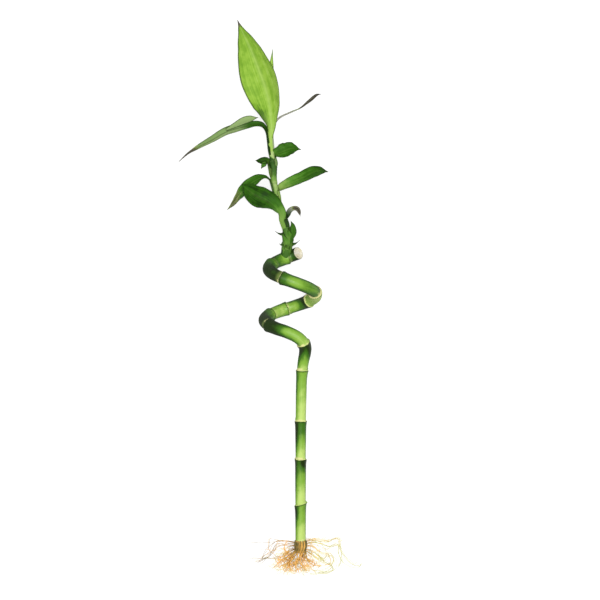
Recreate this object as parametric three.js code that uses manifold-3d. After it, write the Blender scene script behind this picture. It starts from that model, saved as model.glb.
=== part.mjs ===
// A lucky bamboo without a vase: one spiral cane, its bare roots and the leafy shoot that grew from its top node.
// It lies on a flat surface on the back of its coil, with its roots and the tips of a few leaves touching down.
// Millimetres. +Z is up off the surface, +Y runs along the plant from the roots to the top leaf, and +X is to
// the right for someone who looks down on it. The origin is on the surface, under the middle of the outline.
import * as THREE from "three";
import { mergeVertices } from "three/addons/utils/BufferGeometryUtils.js";
import Module from "manifold-3d";

const wasm = await Module();
wasm.setup();

// ---- Driving dimensions ----
const CLEAR = 0.35; // space between two pieces that touch on the plant
const BLADE = 0.7; // thickness of a leaf
const LEAF_TIP = 0.5; // half a leaf's width at its tip
const SHEATH_TURN = 1.25; // how far a leaf's sheath reaches round the shoot on each side of its midrib, radians

const COIL_X = 24.6; // the line that the coil winds round, along Y
const COIL_PITCH = 46.4; // length of plant that one turn takes up
const COIL_BACK_Y = 39; // where the top turn passes the back of the coil, at 90 degrees
const COIL_START = 70; // degrees round the coil: 90 is its back, 180 its left, 270 its front, 360 its right
const COIL_END = 632;
const COIL_TOP_RADIUS = 19; // the coil widens towards the roots
const COIL_GROWTH = 4.9 / 472; // per degree
const RESTS_AT = 450; // the degree of the coil that lies on the surface
const REST_DEPTH = 0.35; // how much is pressed flat there

const COIL_THICK = 11.4; // the cane's diameter in the coil
const STEM_THICK = 9.7; // and along its straight foot
const THINNING = [-32, -75]; // the stretch of Y in which the one becomes the other
const RIM = 1.12; // a node's rim, against the cane's own radius
const WAIST = 0.95; // and the cane just above a rim
const CANE_SIDES = 12;
const COIL_STEP = 6.5; // about how far apart the sections are in the coil
const STEM_STEP = 14; // and along the straight foot

const FOOT = new THREE.Vector3(33, -225, 17); // the middle of the cane's lower end
const FOOT_SLIM = 7; // length of foot that is slimmer, inside the brown crown of the roots
const CROWN_THICK = 11.4;
const CROWN_WALL = 0.8;
const SLIM_RADIUS = CROWN_THICK / 2 - CROWN_WALL - CLEAR;

// ---- Small helpers ----
const V = (x, y, z) => new THREE.Vector3(x, y, z);
const degrees = THREE.MathUtils.degToRad;
const lerp = THREE.MathUtils.lerp;
const smooth = THREE.MathUtils.smoothstep;
const clamp = THREE.MathUtils.clamp;

// Random numbers from 0 to 1 that come out the same on every run.
function seeded(seed) {
  let a = seed;
  return () => {
    a = (a + 0x6d2b79f5) | 0;
    let t = Math.imul(a ^ (a >>> 15), 1 | a);
    t = (t + Math.imul(t ^ (t >>> 7), 61 | t)) ^ t;
    return ((t ^ (t >>> 14)) >>> 0) / 4294967296;
  };
}

// A closed skin over rings of equally many points. Each ring runs round counter-clockwise about the way ahead.
// The second half of a ring is split on the other diagonal, so the two faces of a thin blade match.
function loft(rings) {
  const n = rings[0].length;
  const at = (i, k) => i * n + (k % n);
  const index = [];
  for (let i = 0; i < rings.length - 1; i++)
    for (let k = 0; k < n; k++) {
      const [a, b, c, d] = [at(i, k), at(i, k + 1), at(i + 1, k + 1), at(i + 1, k)];
      if (k < n / 2) index.push(a, b, c, a, c, d);
      else index.push(a, b, d, b, c, d);
    }
  const last = rings.length - 1;
  for (let k = 0; k < n / 2 - 1; k++) {
    index.push(at(0, k), at(0, n - 1 - k), at(0, k + 1));
    index.push(at(0, k + 1), at(0, n - 1 - k), at(0, n - 2 - k));
    index.push(at(last, k), at(last, k + 1), at(last, n - 1 - k));
    index.push(at(last, k + 1), at(last, n - 2 - k), at(last, n - 1 - k));
  }
  const geometry = new THREE.BufferGeometry().setFromPoints(rings.flat());
  return geometry.setIndex(index);
}

// A smooth line through points, with a frame at any distance along it that turns no more than it must.
function route(points, samples = 600) {
  const curve = new THREE.CatmullRomCurve3(points, false, "centripetal");
  const spots = curve.getPoints(samples);
  const tangents = spots.map((_, i) => curve.getTangent(i / samples));
  const distances = [0];
  for (let i = 1; i <= samples; i++) distances.push(distances[i - 1] + spots[i].distanceTo(spots[i - 1]));
  let normal = V(0, 0, 1);
  const normals = tangents.map((t) => {
    normal = normal.clone().addScaledVector(t, -normal.dot(t)).normalize();
    return normal;
  });
  const frameAt = (distance) => {
    let i = distances.findIndex((d) => d >= distance);
    if (i < 1) i = i < 0 ? samples : 1;
    const share = clamp((distance - distances[i - 1]) / (distances[i] - distances[i - 1]), 0, 1);
    const ahead = tangents[i - 1].clone().lerp(tangents[i], share).normalize();
    const up = normals[i - 1].clone().lerp(normals[i], share);
    up.addScaledVector(ahead, -up.dot(ahead)).normalize();
    const point = spots[i - 1].clone().lerp(spots[i], share);
    return { point, ahead, up, side: ahead.clone().cross(up) };
  };
  const distanceAtY = (y) => {
    const falls = spots[0].y > spots[samples].y;
    const i = spots.findIndex((p) => (falls ? p.y <= y : p.y >= y));
    return distances[i < 0 ? samples : i];
  };
  const distanceNear = (spot) => {
    const gaps = spots.map((p) => p.distanceTo(spot));
    return distances[gaps.indexOf(Math.min(...gaps))];
  };
  return { length: distances[samples], frameAt, distanceAtY, distanceNear };
}

// A round section about a frame.
function section({ point, up, side }, radius, sides) {
  return Array.from({ length: sides }, (_, k) => {
    const a = (2 * Math.PI * k) / sides;
    return point.clone().addScaledVector(up, radius * Math.cos(a)).addScaledVector(side, radius * Math.sin(a));
  });
}

// Between a BufferGeometry and a solid that can be joined and cut.
function solid(geometry) {
  const bare = geometry.clone();
  bare.deleteAttribute("normal");
  bare.deleteAttribute("uv");
  const merged = mergeVertices(bare, 1e-4);
  return new wasm.Manifold(
    new wasm.Mesh({
      numProp: 3,
      vertProperties: merged.attributes.position.array,
      triVerts: new Uint32Array(merged.index.array),
    }),
  );
}

function geometryOf(body) {
  const mesh = body.getMesh();
  return new THREE.BufferGeometry()
    .setAttribute("position", new THREE.BufferAttribute(new Float32Array(mesh.vertProperties), 3))
    .setIndex(new THREE.BufferAttribute(new Uint32Array(mesh.triVerts), 1));
}

// A cut can part a crumb from a piece. The piece is its largest body.
function largest(body) {
  return body.decompose().reduce((most, b) => (b.volume() > most.volume() ? b : most));
}

// ---- The cane ----
const coilRadius = (turn) => COIL_TOP_RADIUS + COIL_GROWTH * (turn - COIL_START);
const COIL_Z = coilRadius(RESTS_AT) + COIL_THICK / 2 - REST_DEPTH;

function coilPoint(turn) {
  const a = degrees(turn);
  const r = coilRadius(turn);
  return V(COIL_X + r * Math.cos(a), COIL_BACK_Y - (COIL_PITCH * (turn - 90)) / 360, COIL_Z - r * Math.sin(a));
}

// From the front of its last turn the cane bends down and runs straight, sloping towards the surface.
const BEND_AND_STEM = [
  V(30.1, -34, 53),
  V(34.7, -38.2, 51.3),
  V(37, -43, 48.8),
  V(37, -48, 46.6),
  V(35.6, -55, 44.6),
  V(34.2, -66, 42.3),
  V(33.4, -91, 38),
  V(33, -145, 29.4),
  FOOT,
];

function caneRoute() {
  const coil = [];
  for (let turn = COIL_START; turn < COIL_END; turn += 22) coil.push(coilPoint(turn));
  return route([...coil, ...BEND_AND_STEM], 900);
}

// Nodes: by the degree of the coil that they stand at, and then by their place on Y.
const COIL_NODES = [98, 152, 247, 345, 404, 459, 503, 575];
const STEM_NODES = [-39, -63.5, -108.5, -143, -183, -218];

const cane = caneRoute();
const nodes = [
  ...COIL_NODES.map((turn) => cane.distanceNear(coilPoint(turn))),
  ...STEM_NODES.map((y) => cane.distanceAtY(y)),
];

function caneRadius(distance) {
  const y = cane.frameAt(distance).point.y;
  const thinned = 1 - smooth(y, THINNING[1], THINNING[0]);
  return lerp(COIL_THICK, STEM_THICK, thinned) / 2;
}

// How thick the cane is against its plain radius: widest at a node's rim, then easing to a waist over the next.
function caneProfile() {
  const stops = [[0, 1]];
  const ends = [...nodes, cane.length];
  nodes.forEach((node, i) => {
    stops.push([node - 0.8, WAIST], [node, RIM], [node + 1.2, RIM - 0.04], [node + 3, 1.02]);
    const room = ends[i + 1] - node - 4.5;
    const steps = Math.max(1, Math.round(room / (i < COIL_NODES.length ? COIL_STEP : STEM_STEP)));
    for (let k = 1; k < steps; k++) stops.push([node + 3 + (room * k) / steps, lerp(1.02, WAIST, k / steps)]);
  });
  return stops.sort((a, b) => a[0] - b[0]);
}

// The sawn top is a flat rim round a shallow dish, where the pith has dried and sunk. The saw went through at a
// slant, so the first sections lean, and they turn square over the next stretch.
const CUT_RIM = 0.84; // of the radius
const CUT_DISH = 0.9; // depth
const CUT_SLANT = 3; // how much further down the cane the cut is at its highest point than at its middle
const CUT_EASE = 9;

function caneSection(distance, radius) {
  const frame = cane.frameAt(distance);
  const lean = (CUT_SLANT * Math.max(0, 1 - distance / CUT_EASE)) / (COIL_THICK / 2);
  const ring = section(frame, radius, CANE_SIDES);
  return ring.map((p) => p.addScaledVector(frame.ahead, lean * (p.z - frame.point.z)));
}

// The sections of the cane's skin, from the sawn top to where the crown of the roots takes over.
function caneRings(extra = 0) {
  return caneProfile()
    .filter(([distance]) => distance < cane.length - FOOT_SLIM - 0.5)
    .map(([distance, share]) => caneSection(distance, caneRadius(distance) * share + extra));
}

function makeCane() {
  const topRadius = caneRadius(0);
  const rings = [
    caneSection(CUT_DISH, topRadius * 0.25),
    caneSection(CUT_DISH, topRadius * (CUT_RIM - 0.1)),
    caneSection(0, topRadius * CUT_RIM),
    ...caneRings(),
    caneSection(cane.length - FOOT_SLIM - 0.4, caneRadius(cane.length)),
    caneSection(cane.length - FOOT_SLIM, SLIM_RADIUS),
    caneSection(cane.length - 1, SLIM_RADIUS),
    caneSection(cane.length, SLIM_RADIUS * 0.8),
  ];
  const surface = new THREE.BoxGeometry(200, 600, 20).translate(0, 0, -10);
  return largest(solid(loft(rings)).subtract(solid(surface)));
}

// The cane, a little fatter: what sits on the cane is cut by it, and keeps clear.
function caneRoom() {
  const foot = [
    [-FOOT_SLIM, caneRadius(cane.length)],
    [-FOOT_SLIM + CLEAR, SLIM_RADIUS],
    [CLEAR, SLIM_RADIUS],
  ];
  const rings = foot.map(([past, radius]) => {
    const frame = cane.frameAt(cane.length);
    frame.point.addScaledVector(frame.ahead, past);
    return section(frame, radius + CLEAR, CANE_SIDES);
  });
  return solid(loft([...caneRings(CLEAR), ...rings]));
}

// ---- The shoot ----
// Its stem rises from the cane's top node and leans to the left: place of its middle, and radius.
const SHOOT = [
  [19.4, 38.5, 11.5, 4.7],
  [21.3, 53, 16, 4.2],
  [20.6, 61, 17.6, 3.7],
  [18, 70, 19, 3.1],
  [15, 80, 20.5, 2.9],
  [12.4, 90, 21.5, 2.5],
  [9.9, 101, 22, 2.7],
  [8.6, 110, 22, 2.8],
  [8.3, 116, 22, 3.3],
  [8.2, 121.4, 22, 3.8],
  [8, 123.4, 22, 2.8],
  [7, 131, 22, 2.4],
  [6.1, 139, 22.2, 2.2],
  [5.5, 146, 22.5, 1.8],
  [5.1, 152, 22.8, 1.3],
];
const SHOOT_SIDES = 10;
const shoot = route(SHOOT.map(([x, y, z]) => V(x, y, z)), 300);

function shootRadius(y) {
  const i = Math.max(1, SHOOT.findIndex((row) => row[1] >= y));
  const [low, high] = [SHOOT[i - 1], SHOOT[i]];
  return lerp(low[3], high[3], clamp((y - low[1]) / (high[1] - low[1]), 0, 1));
}

function shootStem(extra = 0) {
  const rings = [];
  const steps = 18;
  for (let k = 0; k <= steps; k++) {
    const frame = shoot.frameAt((shoot.length * k) / steps);
    rings.push(section(frame, shootRadius(frame.point.y) + extra, SHOOT_SIDES));
  }
  return solid(loft(rings));
}

// ---- Leaves ----
// A leaf is a ribbon along its midrib. Each key of it holds the midrib's place, half the leaf's width there,
// how far its two halves fold up (radians at the margin), and the way that its upper face looks.
// Its sheath hugs the shoot over a stretch of Y, on a side given in degrees: 0 is up, 90 right, 270 left.
function sheathKeys({ side, from, to, sunk = 0 }) {
  const a = degrees(side);
  return [from, (from + to) / 2, to].map((y) => {
    const { point, ahead } = shoot.frameAt(shoot.distanceAtY(y));
    const out = V(Math.sin(a), 0, Math.cos(a));
    out.addScaledVector(ahead, -out.dot(ahead)).normalize();
    const radius = shootRadius(y) + CLEAR + BLADE / 2 - sunk;
    const at = point.addScaledVector(out, radius);
    return { at, half: radius * SHEATH_TURN, fold: SHEATH_TURN, face: out.negate() };
  });
}

const bladeKey = ([x, y, z, half, fold, face]) => ({ at: V(x, y, z), half, fold, face: V(...face) });

// The cross-section of a leaf: its upper face from one margin to the other, and its under face back again.
// Nothing of it goes below the surface: a tip that touches down lies flat.
function leafSection(frame, across, thick, ripple) {
  const { at, ahead, half, fold, face } = frame;
  const up = face.clone().addScaledVector(ahead, -face.dot(ahead)).normalize();
  const wide = ahead.clone().cross(up);
  const bend = half / fold;
  const [over, under] = [[], []];
  for (let j = 0; j <= across; j++) {
    const t = (2 * j) / across - 1;
    const a = fold * t;
    const middle = at.clone().addScaledVector(wide, bend * Math.sin(a));
    middle.addScaledVector(up, bend * (1 - Math.cos(a)) + ripple * t * Math.abs(t));
    const out = up.clone().multiplyScalar(Math.cos(a)).addScaledVector(wide, -Math.sin(a));
    const top = middle.clone().addScaledVector(out, thick / 2);
    const low = middle.clone().addScaledVector(out, -thick / 2);
    low.z = Math.max(low.z, 0);
    top.z = Math.max(top.z, low.z < 0.01 ? thick : 0);
    over.push(top);
    under.unshift(low);
  }
  return [...over, ...under];
}

function ribbonSolid(keys, { across = 4, rows = 1, wave = 0 }, extra) {
  const spans = keys.length - 1;
  const line = new THREE.CatmullRomCurve3(keys.map((k) => k.at), false, "centripetal");
  const shape = new THREE.SplineCurve(keys.map((k) => new THREE.Vector2(k.half, k.fold)));
  const stops = [0, 1];
  for (let k = 2; k < spans; k += 1 / rows) stops.push(k);
  stops.push(spans);
  const rings = stops.map((stop) => {
    const k = Math.min(Math.floor(stop), spans - 1);
    const { x: half, y: fold } = shape.getPoint(stop / spans);
    const frame = {
      at: line.getPoint(stop / spans),
      ahead: line.getTangent(stop / spans),
      half: Math.max(half, LEAF_TIP) + extra,
      fold,
      face: keys[k].face.clone().lerp(keys[k + 1].face, stop - k),
    };
    const grown = Math.max(0, stop - 3) / (spans - 3);
    const ripple = wave && wave * Math.sin(Math.PI * grown) * Math.sin(5 * Math.PI * grown);
    return leafSection(frame, across, BLADE + 2 * extra, ripple);
  });
  return solid(loft(rings));
}

// A whole leaf, with its flap where the blade has torn and folded over. With extra, it comes out that much
// bigger all round: the room that its neighbours leave it.
function leafSolid({ sheath, blade, flap, ...look }, extra = 0) {
  const whole = ribbonSolid([...sheathKeys(sheath), ...blade.map(bladeKey)], look, extra);
  return flap ? whole.add(ribbonSolid(flap.map(bladeKey), {}, extra)) : whole;
}

// The leaves, from the lowest to the top one. Blade keys: x, y, z, half width, fold, facing.
const LEAVES = {
  leaf_small_right: {
    sheath: { side: 80, from: 62, to: 72 },
    blade: [
      [21.9, 75.6, 22.6, 3.2, 1, [-0.5, 0.2, 0.85]],
      [23.8, 79.6, 22.6, 2.8, 0.8, [-0.3, 0.3, 0.9]],
      [26.8, 81.4, 21.6, 2.6, 0.6, [0, 0.5, 0.85]],
      [30, 80.6, 19.4, 3, 0.5, [0.4, 0.4, 0.8]],
      [32, 77.6, 17, 2, 0.4, [0.6, 0.3, 0.7]],
      [32.8, 74.2, 15, 0.5, 0.3, [0.8, 0.3, 0.3]],
    ],
  },
  leaf_lower_left: {
    sheath: { side: 300, from: 62, to: 72 },
    wave: 0.6,
    blade: [
      [14.6, 76.4, 23.4, 6, 1.2, [0.6, 0.3, -0.7]],
      [11.4, 80.8, 25, 7.8, 1, [0.45, 0.4, -0.8]],
      [6.9, 85, 26.8, 9.2, 0.9, [0.3, 0.35, -0.9]],
      [1.4, 88.6, 28, 10.4, 0.8, [0.1, 0.25, -1]],
      [-4.2, 91.2, 28.4, 10.8, 0.7, [0, 0.2, -1]],
      [-9.8, 94.6, 27.4, 9.4, 0.7, [0, 0.1, -1]],
      [-15.4, 99, 25, 6.2, 0.5, [0.2, 0, -1]],
      [-19.8, 103.4, 22, 0.5, 0.3, [0.3, 0, -1]],
    ],
  },
  leaf_middle_left: {
    sheath: { side: 255, from: 88, to: 103 },
    wave: 0.5,
    blade: [
      [4.6, 107.4, 21, 2.2, 1, [0.5, 0.85, 0.2]],
      [1.4, 109.2, 21, 3, 0.8, [0.2, 0.9, 0.4]],
      [-4.2, 108.4, 20, 5, 0.5, [0.1, 0.6, 0.8]],
      [-10.4, 105, 18.2, 5.8, 0.5, [-0.1, 0.45, 0.85]],
      [-16, 100.4, 15.4, 5.8, 0.5, [-0.3, 0.35, 0.85]],
      [-20.6, 95.4, 12, 5.4, 0.6, [-0.4, 0.3, 0.85]],
      [-24.2, 90.6, 8.2, 4.2, 0.7, [-0.5, 0.3, 0.8]],
      [-28.2, 86, 4.4, 2.4, 0.5, [-0.5, 0.3, 0.8]],
      [-33.8, 80.8, 0.8, 0.5, 0.3, [-0.3, 0.3, 0.9]],
    ],
  },
  leaf_middle_right: {
    sheath: { side: 90, from: 86, to: 97 },
    wave: 0.5,
    blade: [
      [16.2, 100, 23, 5, 1.1, [-0.5, 0.4, 0.8]],
      [20.8, 102.6, 23.8, 5.6, 0.8, [-0.3, 0.45, 0.85]],
      [27.4, 105.8, 23.4, 6.2, 0.6, [-0.3, 0.5, 0.8]],
      [35.6, 109.6, 21.4, 6.8, 0.5, [-0.2, 0.5, 0.85]],
      [44.2, 114, 17.4, 6.4, 0.5, [-0.1, 0.5, 0.85]],
      [51.4, 116.2, 12.4, 4.2, 0.4, [0.2, 0.5, 0.8]],
      [58.5, 115, 5.8, 0.5, 0.3, [0.5, 0.5, 0.7]],
    ],
  },
  leaf_upper_left: {
    sheath: { side: 272, from: 108, to: 118 },
    blade: [
      [2.4, 123.4, 25.2, 4.2, 1, [0.4, 0.6, 0.7]],
      [-1.4, 124.2, 25.8, 4.2, 0.6, [0, 0.35, 0.95]],
      [-4.8, 124.4, 25, 2.6, 0.5, [-0.2, 0.2, 0.95]],
      [-7.8, 124.7, 23.6, 0.5, 0.3, [-0.3, 0.2, 0.9]],
    ],
    flap: [
      [1.8, 122.6, 27.2, 1.4, 0.4, [0, 0, 1]],
      [0, 120.8, 27.2, 2.6, 0.4, [0, -0.1, 1]],
      [-1.9, 118.2, 25.6, 0.5, 0.3, [-0.1, -0.2, 0.95]],
    ],
  },
  leaf_upper_right: {
    sheath: { side: 95, from: 118, to: 126 },
    wave: 0.8,
    blade: [
      [10.6, 130.2, 24.4, 5, 1.1, [-0.5, 0.35, 0.8]],
      [15, 131.8, 25.4, 7, 0.8, [-0.3, 0.3, 0.9]],
      [20, 133.8, 25.6, 7.4, 0.6, [-0.2, 0.3, 0.9]],
      [23.8, 135.4, 24.8, 6.4, 0.5, [-0.1, 0.3, 0.95]],
      [27.8, 135.8, 23, 3.6, 0.4, [0, 0.3, 0.95]],
      [33.6, 134.6, 19.6, 0.5, 0.3, [0.3, 0.4, 0.85]],
    ],
  },
  leaf_arching_left: {
    sheath: { side: 270, from: 127, to: 141 },
    wave: 0.5,
    blade: [
      [1.6, 150.4, 24, 3.4, 1.2, [0.85, 0.3, 0.3]],
      [-1.8, 155.6, 25.8, 3.6, 1.1, [0.4, 0.6, 0.7]],
      [-7.4, 157, 26.8, 3.6, 0.9, [0.1, 0.5, 0.85]],
      [-15, 155.4, 27, 3.8, 0.9, [-0.1, 0.4, 0.9]],
      [-24, 153.2, 26.2, 4.6, 1, [-0.2, 0.35, 0.9]],
      [-33.5, 150.4, 24, 4.8, 1.1, [-0.25, 0.3, 0.92]],
      [-46.5, 143.4, 19.2, 4.2, 1.1, [-0.3, 0.3, 0.9]],
      [-60, 136.7, 12, 2.6, 1, [-0.4, 0.3, 0.85]],
      [-69.6, 131.2, 5.6, 1.2, 0.6, [-0.4, 0.5, 0.7]],
      [-77.8, 124.4, 0.6, 0.5, 0.3, [-0.2, 0.3, 0.9]],
    ],
    flap: [
      [-26.4, 155.2, 27.4, 1.8, 0.4, [-0.3, 0.3, 0.9]],
      [-18, 159.8, 29.4, 4.2, 0.5, [-0.2, 0.4, 0.95]],
      [-11.4, 162, 29.6, 3.3, 0.5, [0, 0.4, 0.95]],
      [-5.2, 163.2, 28.2, 0.5, 0.3, [0.2, 0.4, 0.95]],
    ],
  },
  leaf_edge_right: {
    sheath: { side: 110, from: 130, to: 142 },
    blade: [
      [8.2, 150, 20.2, 2.4, 1, [-0.95, 0.3, 0.2]],
      [10, 158, 18.6, 2.4, 0.8, [-0.8, 0.6, 0.05]],
      [14.4, 163.4, 16.4, 2.6, 0.6, [-0.45, 0.9, 0]],
      [25.7, 169.2, 12.6, 2.4, 0.5, [-0.45, 0.9, 0]],
      [33, 172.8, 9.6, 2.6, 0.5, [-0.5, 0.85, 0.1]],
      [41.5, 179, 6.2, 3.2, 0.5, [-0.55, 0.7, 0.5]],
      [48, 185, 3, 2, 0.4, [-0.4, 0.7, 0.6]],
      [52.2, 186, 0.6, 0.5, 0.3, [-0.2, 0.8, 0.5]],
    ],
  },
  leaf_spear: {
    sheath: { side: 180, from: 140, to: 148 },
    blade: [
      [5.2, 158, 19.4, 2.8, 1.2, [0, 0.1, 1]],
      [5, 172, 17.6, 3.4, 1.1, [0.1, 0.1, 1]],
      [5, 190, 17, 3.4, 1, [0.1, 0.1, 1]],
      [6.2, 208, 17.4, 2.6, 0.9, [0.1, 0, 1]],
      [7.8, 225.4, 18.6, 0.5, 0.6, [0.1, 0, 1]],
    ],
  },
  leaf_top: {
    sheath: { side: 0, from: 131, to: 145 },
    across: 6,
    rows: 2,
    wave: 0.7,
    blade: [
      [6.8, 155, 26.6, 5.2, 1.2, [-0.1, 0, -1]],
      [6.1, 164.7, 28.4, 9.8, 1, [-0.3, 0, -1]],
      [5, 173.7, 30, 15, 0.85, [-0.45, 0, -1]],
      [0.6, 190.8, 32, 19.4, 0.7, [-0.55, 0, -1]],
      [-5.3, 207, 32.4, 18, 0.7, [-0.5, 0, -1]],
      [-11.9, 224, 30.4, 12.8, 0.7, [-0.4, 0, -1]],
      [-16.2, 233.4, 28.4, 8.4, 0.7, [-0.3, 0.05, -1]],
      [-20.4, 242.4, 25.8, 3.2, 0.6, [-0.2, 0.1, -1]],
      [-24, 251.6, 22.6, 0.5, 0.3, [-0.2, 0.2, -1]],
    ],
  },
};

// Scale leaves: the short pointed leaves that a shoot opens with. They are fused to its stem.
const SCALES = [
  { side: 265, from: 51, to: 57, tip: [9.5, 61.8, 17], half: 2.8 },
  { side: 262, from: 42, to: 47, tip: [13.9, 50.2, 14.4], half: 2.2 },
  { side: 95, from: 43, to: 48, tip: [32.4, 53.5, 14], half: 2.6 },
  { side: 20, from: 46, to: 56, tip: [22, 64.4, 23], half: 3.2 },
  { side: 175, from: 48, to: 57, tip: [18.6, 63.4, 11], half: 3 },
  { side: 325, from: 41, to: 51, tip: [16.6, 60.5, 21.6], half: 4.4 },
  { side: 50, from: 42, to: 50, tip: [25.6, 58.5, 20.4], half: 4 },
];

// The widest of them has let go of the stem and bulges out at the right.
const LOOSE_SCALE = {
  sheath: { side: 70, from: 45, to: 51, sunk: 1 },
  blade: [
    [26, 55, 19, 4, 1, [-0.7, 0.1, -0.7]],
    [27.4, 60.4, 19.8, 4.4, 0.9, [-0.6, -0.1, -0.8]],
    [26.4, 65.8, 20.4, 3.2, 0.8, [-0.5, -0.3, -0.8]],
    [24.2, 70.4, 20.8, 0.5, 0.4, [-0.5, -0.3, -0.8]],
  ],
};

function scaleSolid({ side, from, to, tip, half }, extra = 0) {
  const neck = sheathKeys({ side, from, to })[2].at;
  const middle = neck.clone().lerp(V(...tip), 0.55).add(V(0, -0.5, 0));
  const facing = V(...tip).sub(neck).setY(0).normalize().negate().add(V(0, 0.9, 0));
  const blade = [
    [...middle, half * 0.6, 0.9, [...facing]],
    [...tip, LEAF_TIP, 0.4, [...facing]],
  ];
  return leafSolid({ sheath: { side, from, to, sunk: 1 }, blade, across: 2 }, extra);
}

// ---- Roots ----
// They break out of the cane's lowest node, hang down to the surface and fan out over it.
const ROOT_THICK = [1.7, 0.9]; // at the crown and at the tip
const ROOT_SIDES = 3;
const ROOT_STEPS = 7;
// How many there are, the sweep of directions that they leave in (degrees: -90 points away from the cane),
// and how far the shortest and the longest reach along X and Y.
// A root's lift is how high above the surface it may lie, on the roots under it.
const TANGLE = { count: 22, sweep: [-160, -20], reach: [0.45, 1], x: 22, y: 25, lift: 5 };
const SPREAD = { count: 15, sweep: [-205, 25], reach: [0.6, 1], x: 46, y: 22, lift: 1.2 };
const LONG_ROOTS = [
  { x: 80, y: -236, lift: 0 },
  { x: 66, y: -219, lift: 0 },
  { x: -15, y: -231, lift: 0 },
];

function crownCup() {
  const outer = CROWN_THICK / 2;
  const inner = outer - CROWN_WALL;
  const profile = [
    [0, -5.6],
    [2.6, -5],
    [4.6, -3],
    [outer - 0.3, -0.6],
    [outer, 3],
    [outer - 0.1, FOOT_SLIM - 0.4],
    [inner, FOOT_SLIM - 0.4],
    [inner, -CLEAR],
    [0, -CLEAR],
  ];
  const cup = new THREE.LatheGeometry(profile.map(([r, h]) => new THREE.Vector2(r, h)), 16);
  const foot = cane.frameAt(cane.length);
  const turn = new THREE.Quaternion().setFromUnitVectors(V(0, 1, 0), foot.ahead.clone().negate());
  return solid(cup.applyQuaternion(turn).translate(...foot.point));
}

function rootSolid(start, end, sag, random) {
  const waves = 1 + 1.6 * random();
  const shift = 6 * random();
  const swing = 1.4 + 2 * random();
  const along = end.clone().sub(start);
  const aside = V(-along.y, along.x, 0).normalize();
  const points = [];
  for (let k = 0; k <= ROOT_STEPS; k++) {
    const s = k / ROOT_STEPS;
    const radius = lerp(ROOT_THICK[0], ROOT_THICK[1], s) / 2;
    const sway = swing * Math.sin(waves * 2 * Math.PI * s + shift) * Math.min(1, 3 * s) * s;
    const p = start.clone().addScaledVector(along, s).addScaledVector(aside, sway);
    p.z = lerp(start.z, end.z, Math.min(1, s * sag)) + radius;
    points.push(p);
  }
  const path = route(points, 60);
  const rings = [];
  for (let k = 0; k <= ROOT_STEPS; k++) {
    const s = k / ROOT_STEPS;
    rings.push(section(path.frameAt(path.length * s), lerp(ROOT_THICK[0], ROOT_THICK[1], s) / 2, ROOT_SIDES));
  }
  return solid(loft(rings));
}

function makeRoots() {
  const random = seeded(11);
  const frame = cane.frameAt(cane.length);
  const ends = [];
  for (const { count, sweep, reach, x, y, lift } of [TANGLE, SPREAD])
    for (let i = 0; i < count; i++) {
      const a = degrees(lerp(...sweep, (i + random()) / count));
      const share = lerp(...reach, random());
      ends.push({
        x: FOOT.x + Math.cos(a) * x * share,
        y: FOOT.y - 3 + Math.sin(a) * y * share,
        lift: lift * random(),
      });
    }
  let roots = crownCup();
  for (const { x, y, lift } of [...ends, ...LONG_ROOTS]) {
    const out = V(x, y, 0).sub(V(FOOT.x, FOOT.y, 0)).normalize();
    const height = -3.4 + 8 * random();
    const start = frame.point.clone().addScaledVector(frame.ahead, -height);
    start.addScaledVector(out, height > 0 ? CROWN_THICK / 2 - CROWN_WALL / 2 : 3);
    start.z += 2.4 * (2 * random() - 1);
    const sag = 1.3 + 1.2 * random();
    roots = roots.add(rootSolid(start, V(x, y, lift), sag, random));
  }
  return roots;
}

// ---- Colours ----
const COLOURS = {
  cane: { color: 0x6f9b35, roughness: 0.38 },
  shoot: { color: 0x7ba552, roughness: 0.45 },
  young: { color: 0x93bf48, roughness: 0.45 },
  leaf: { color: 0x3f7420, roughness: 0.4 },
  root: { color: 0xc79a55, roughness: 0.8 },
};
const YOUNG = ["leaf_top", "leaf_spear"];

function piece(name, body, look) {
  const mesh = new THREE.Mesh(geometryOf(body), new THREE.MeshStandardMaterial({ ...COLOURS[look], metalness: 0 }));
  mesh.name = name;
  return mesh;
}

// ---- The plant ----
function shootSolid(extra = 0) {
  const whole = shootStem(extra).add(leafSolid(LOOSE_SCALE, extra));
  return SCALES.reduce((sum, scale) => sum.add(scaleSolid(scale, extra)), whole);
}

const clearOf = (body, rooms) => largest(rooms.reduce((left, room) => left.subtract(room), body));

const room = caneRoom();
const plant = new THREE.Group();
plant.add(piece("cane", makeCane(), "cane"));
plant.add(piece("roots", clearOf(makeRoots(), [room]), "root"));
plant.add(piece("shoot_stem", clearOf(shootSolid(), [room]), "shoot"));

// Each leaf keeps clear of the stem, and of the leaves below it, whose sheaths lie outside its own.
const rooms = [shootSolid(CLEAR)];
for (const [name, leaf] of Object.entries(LEAVES)) {
  plant.add(piece(name, clearOf(leafSolid(leaf), rooms), YOUNG.includes(name) ? "young" : "leaf"));
  rooms.push(leafSolid(leaf, CLEAR));
}

// The origin goes on the surface, under the middle of the outline.
const outline = new THREE.Box3().setFromObject(plant);
const middle = outline.getCenter(V(0, 0, 0));
for (const { geometry } of plant.children) geometry.translate(-middle.x, -middle.y, -outline.min.z);

export default plant;
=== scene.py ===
# %% [markdown]
# # A lucky bamboo that lies on a pale floor
#
# The plant is one trained cane with a leafy shoot and bare roots, and no vase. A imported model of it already
# holds its sizes and its weight. This lesson dresses that model: every plain solid is replaced by a finer
# mesh that keeps its form, and every surface gets a material made from nodes. Nothing here comes from an
# image.

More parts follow.
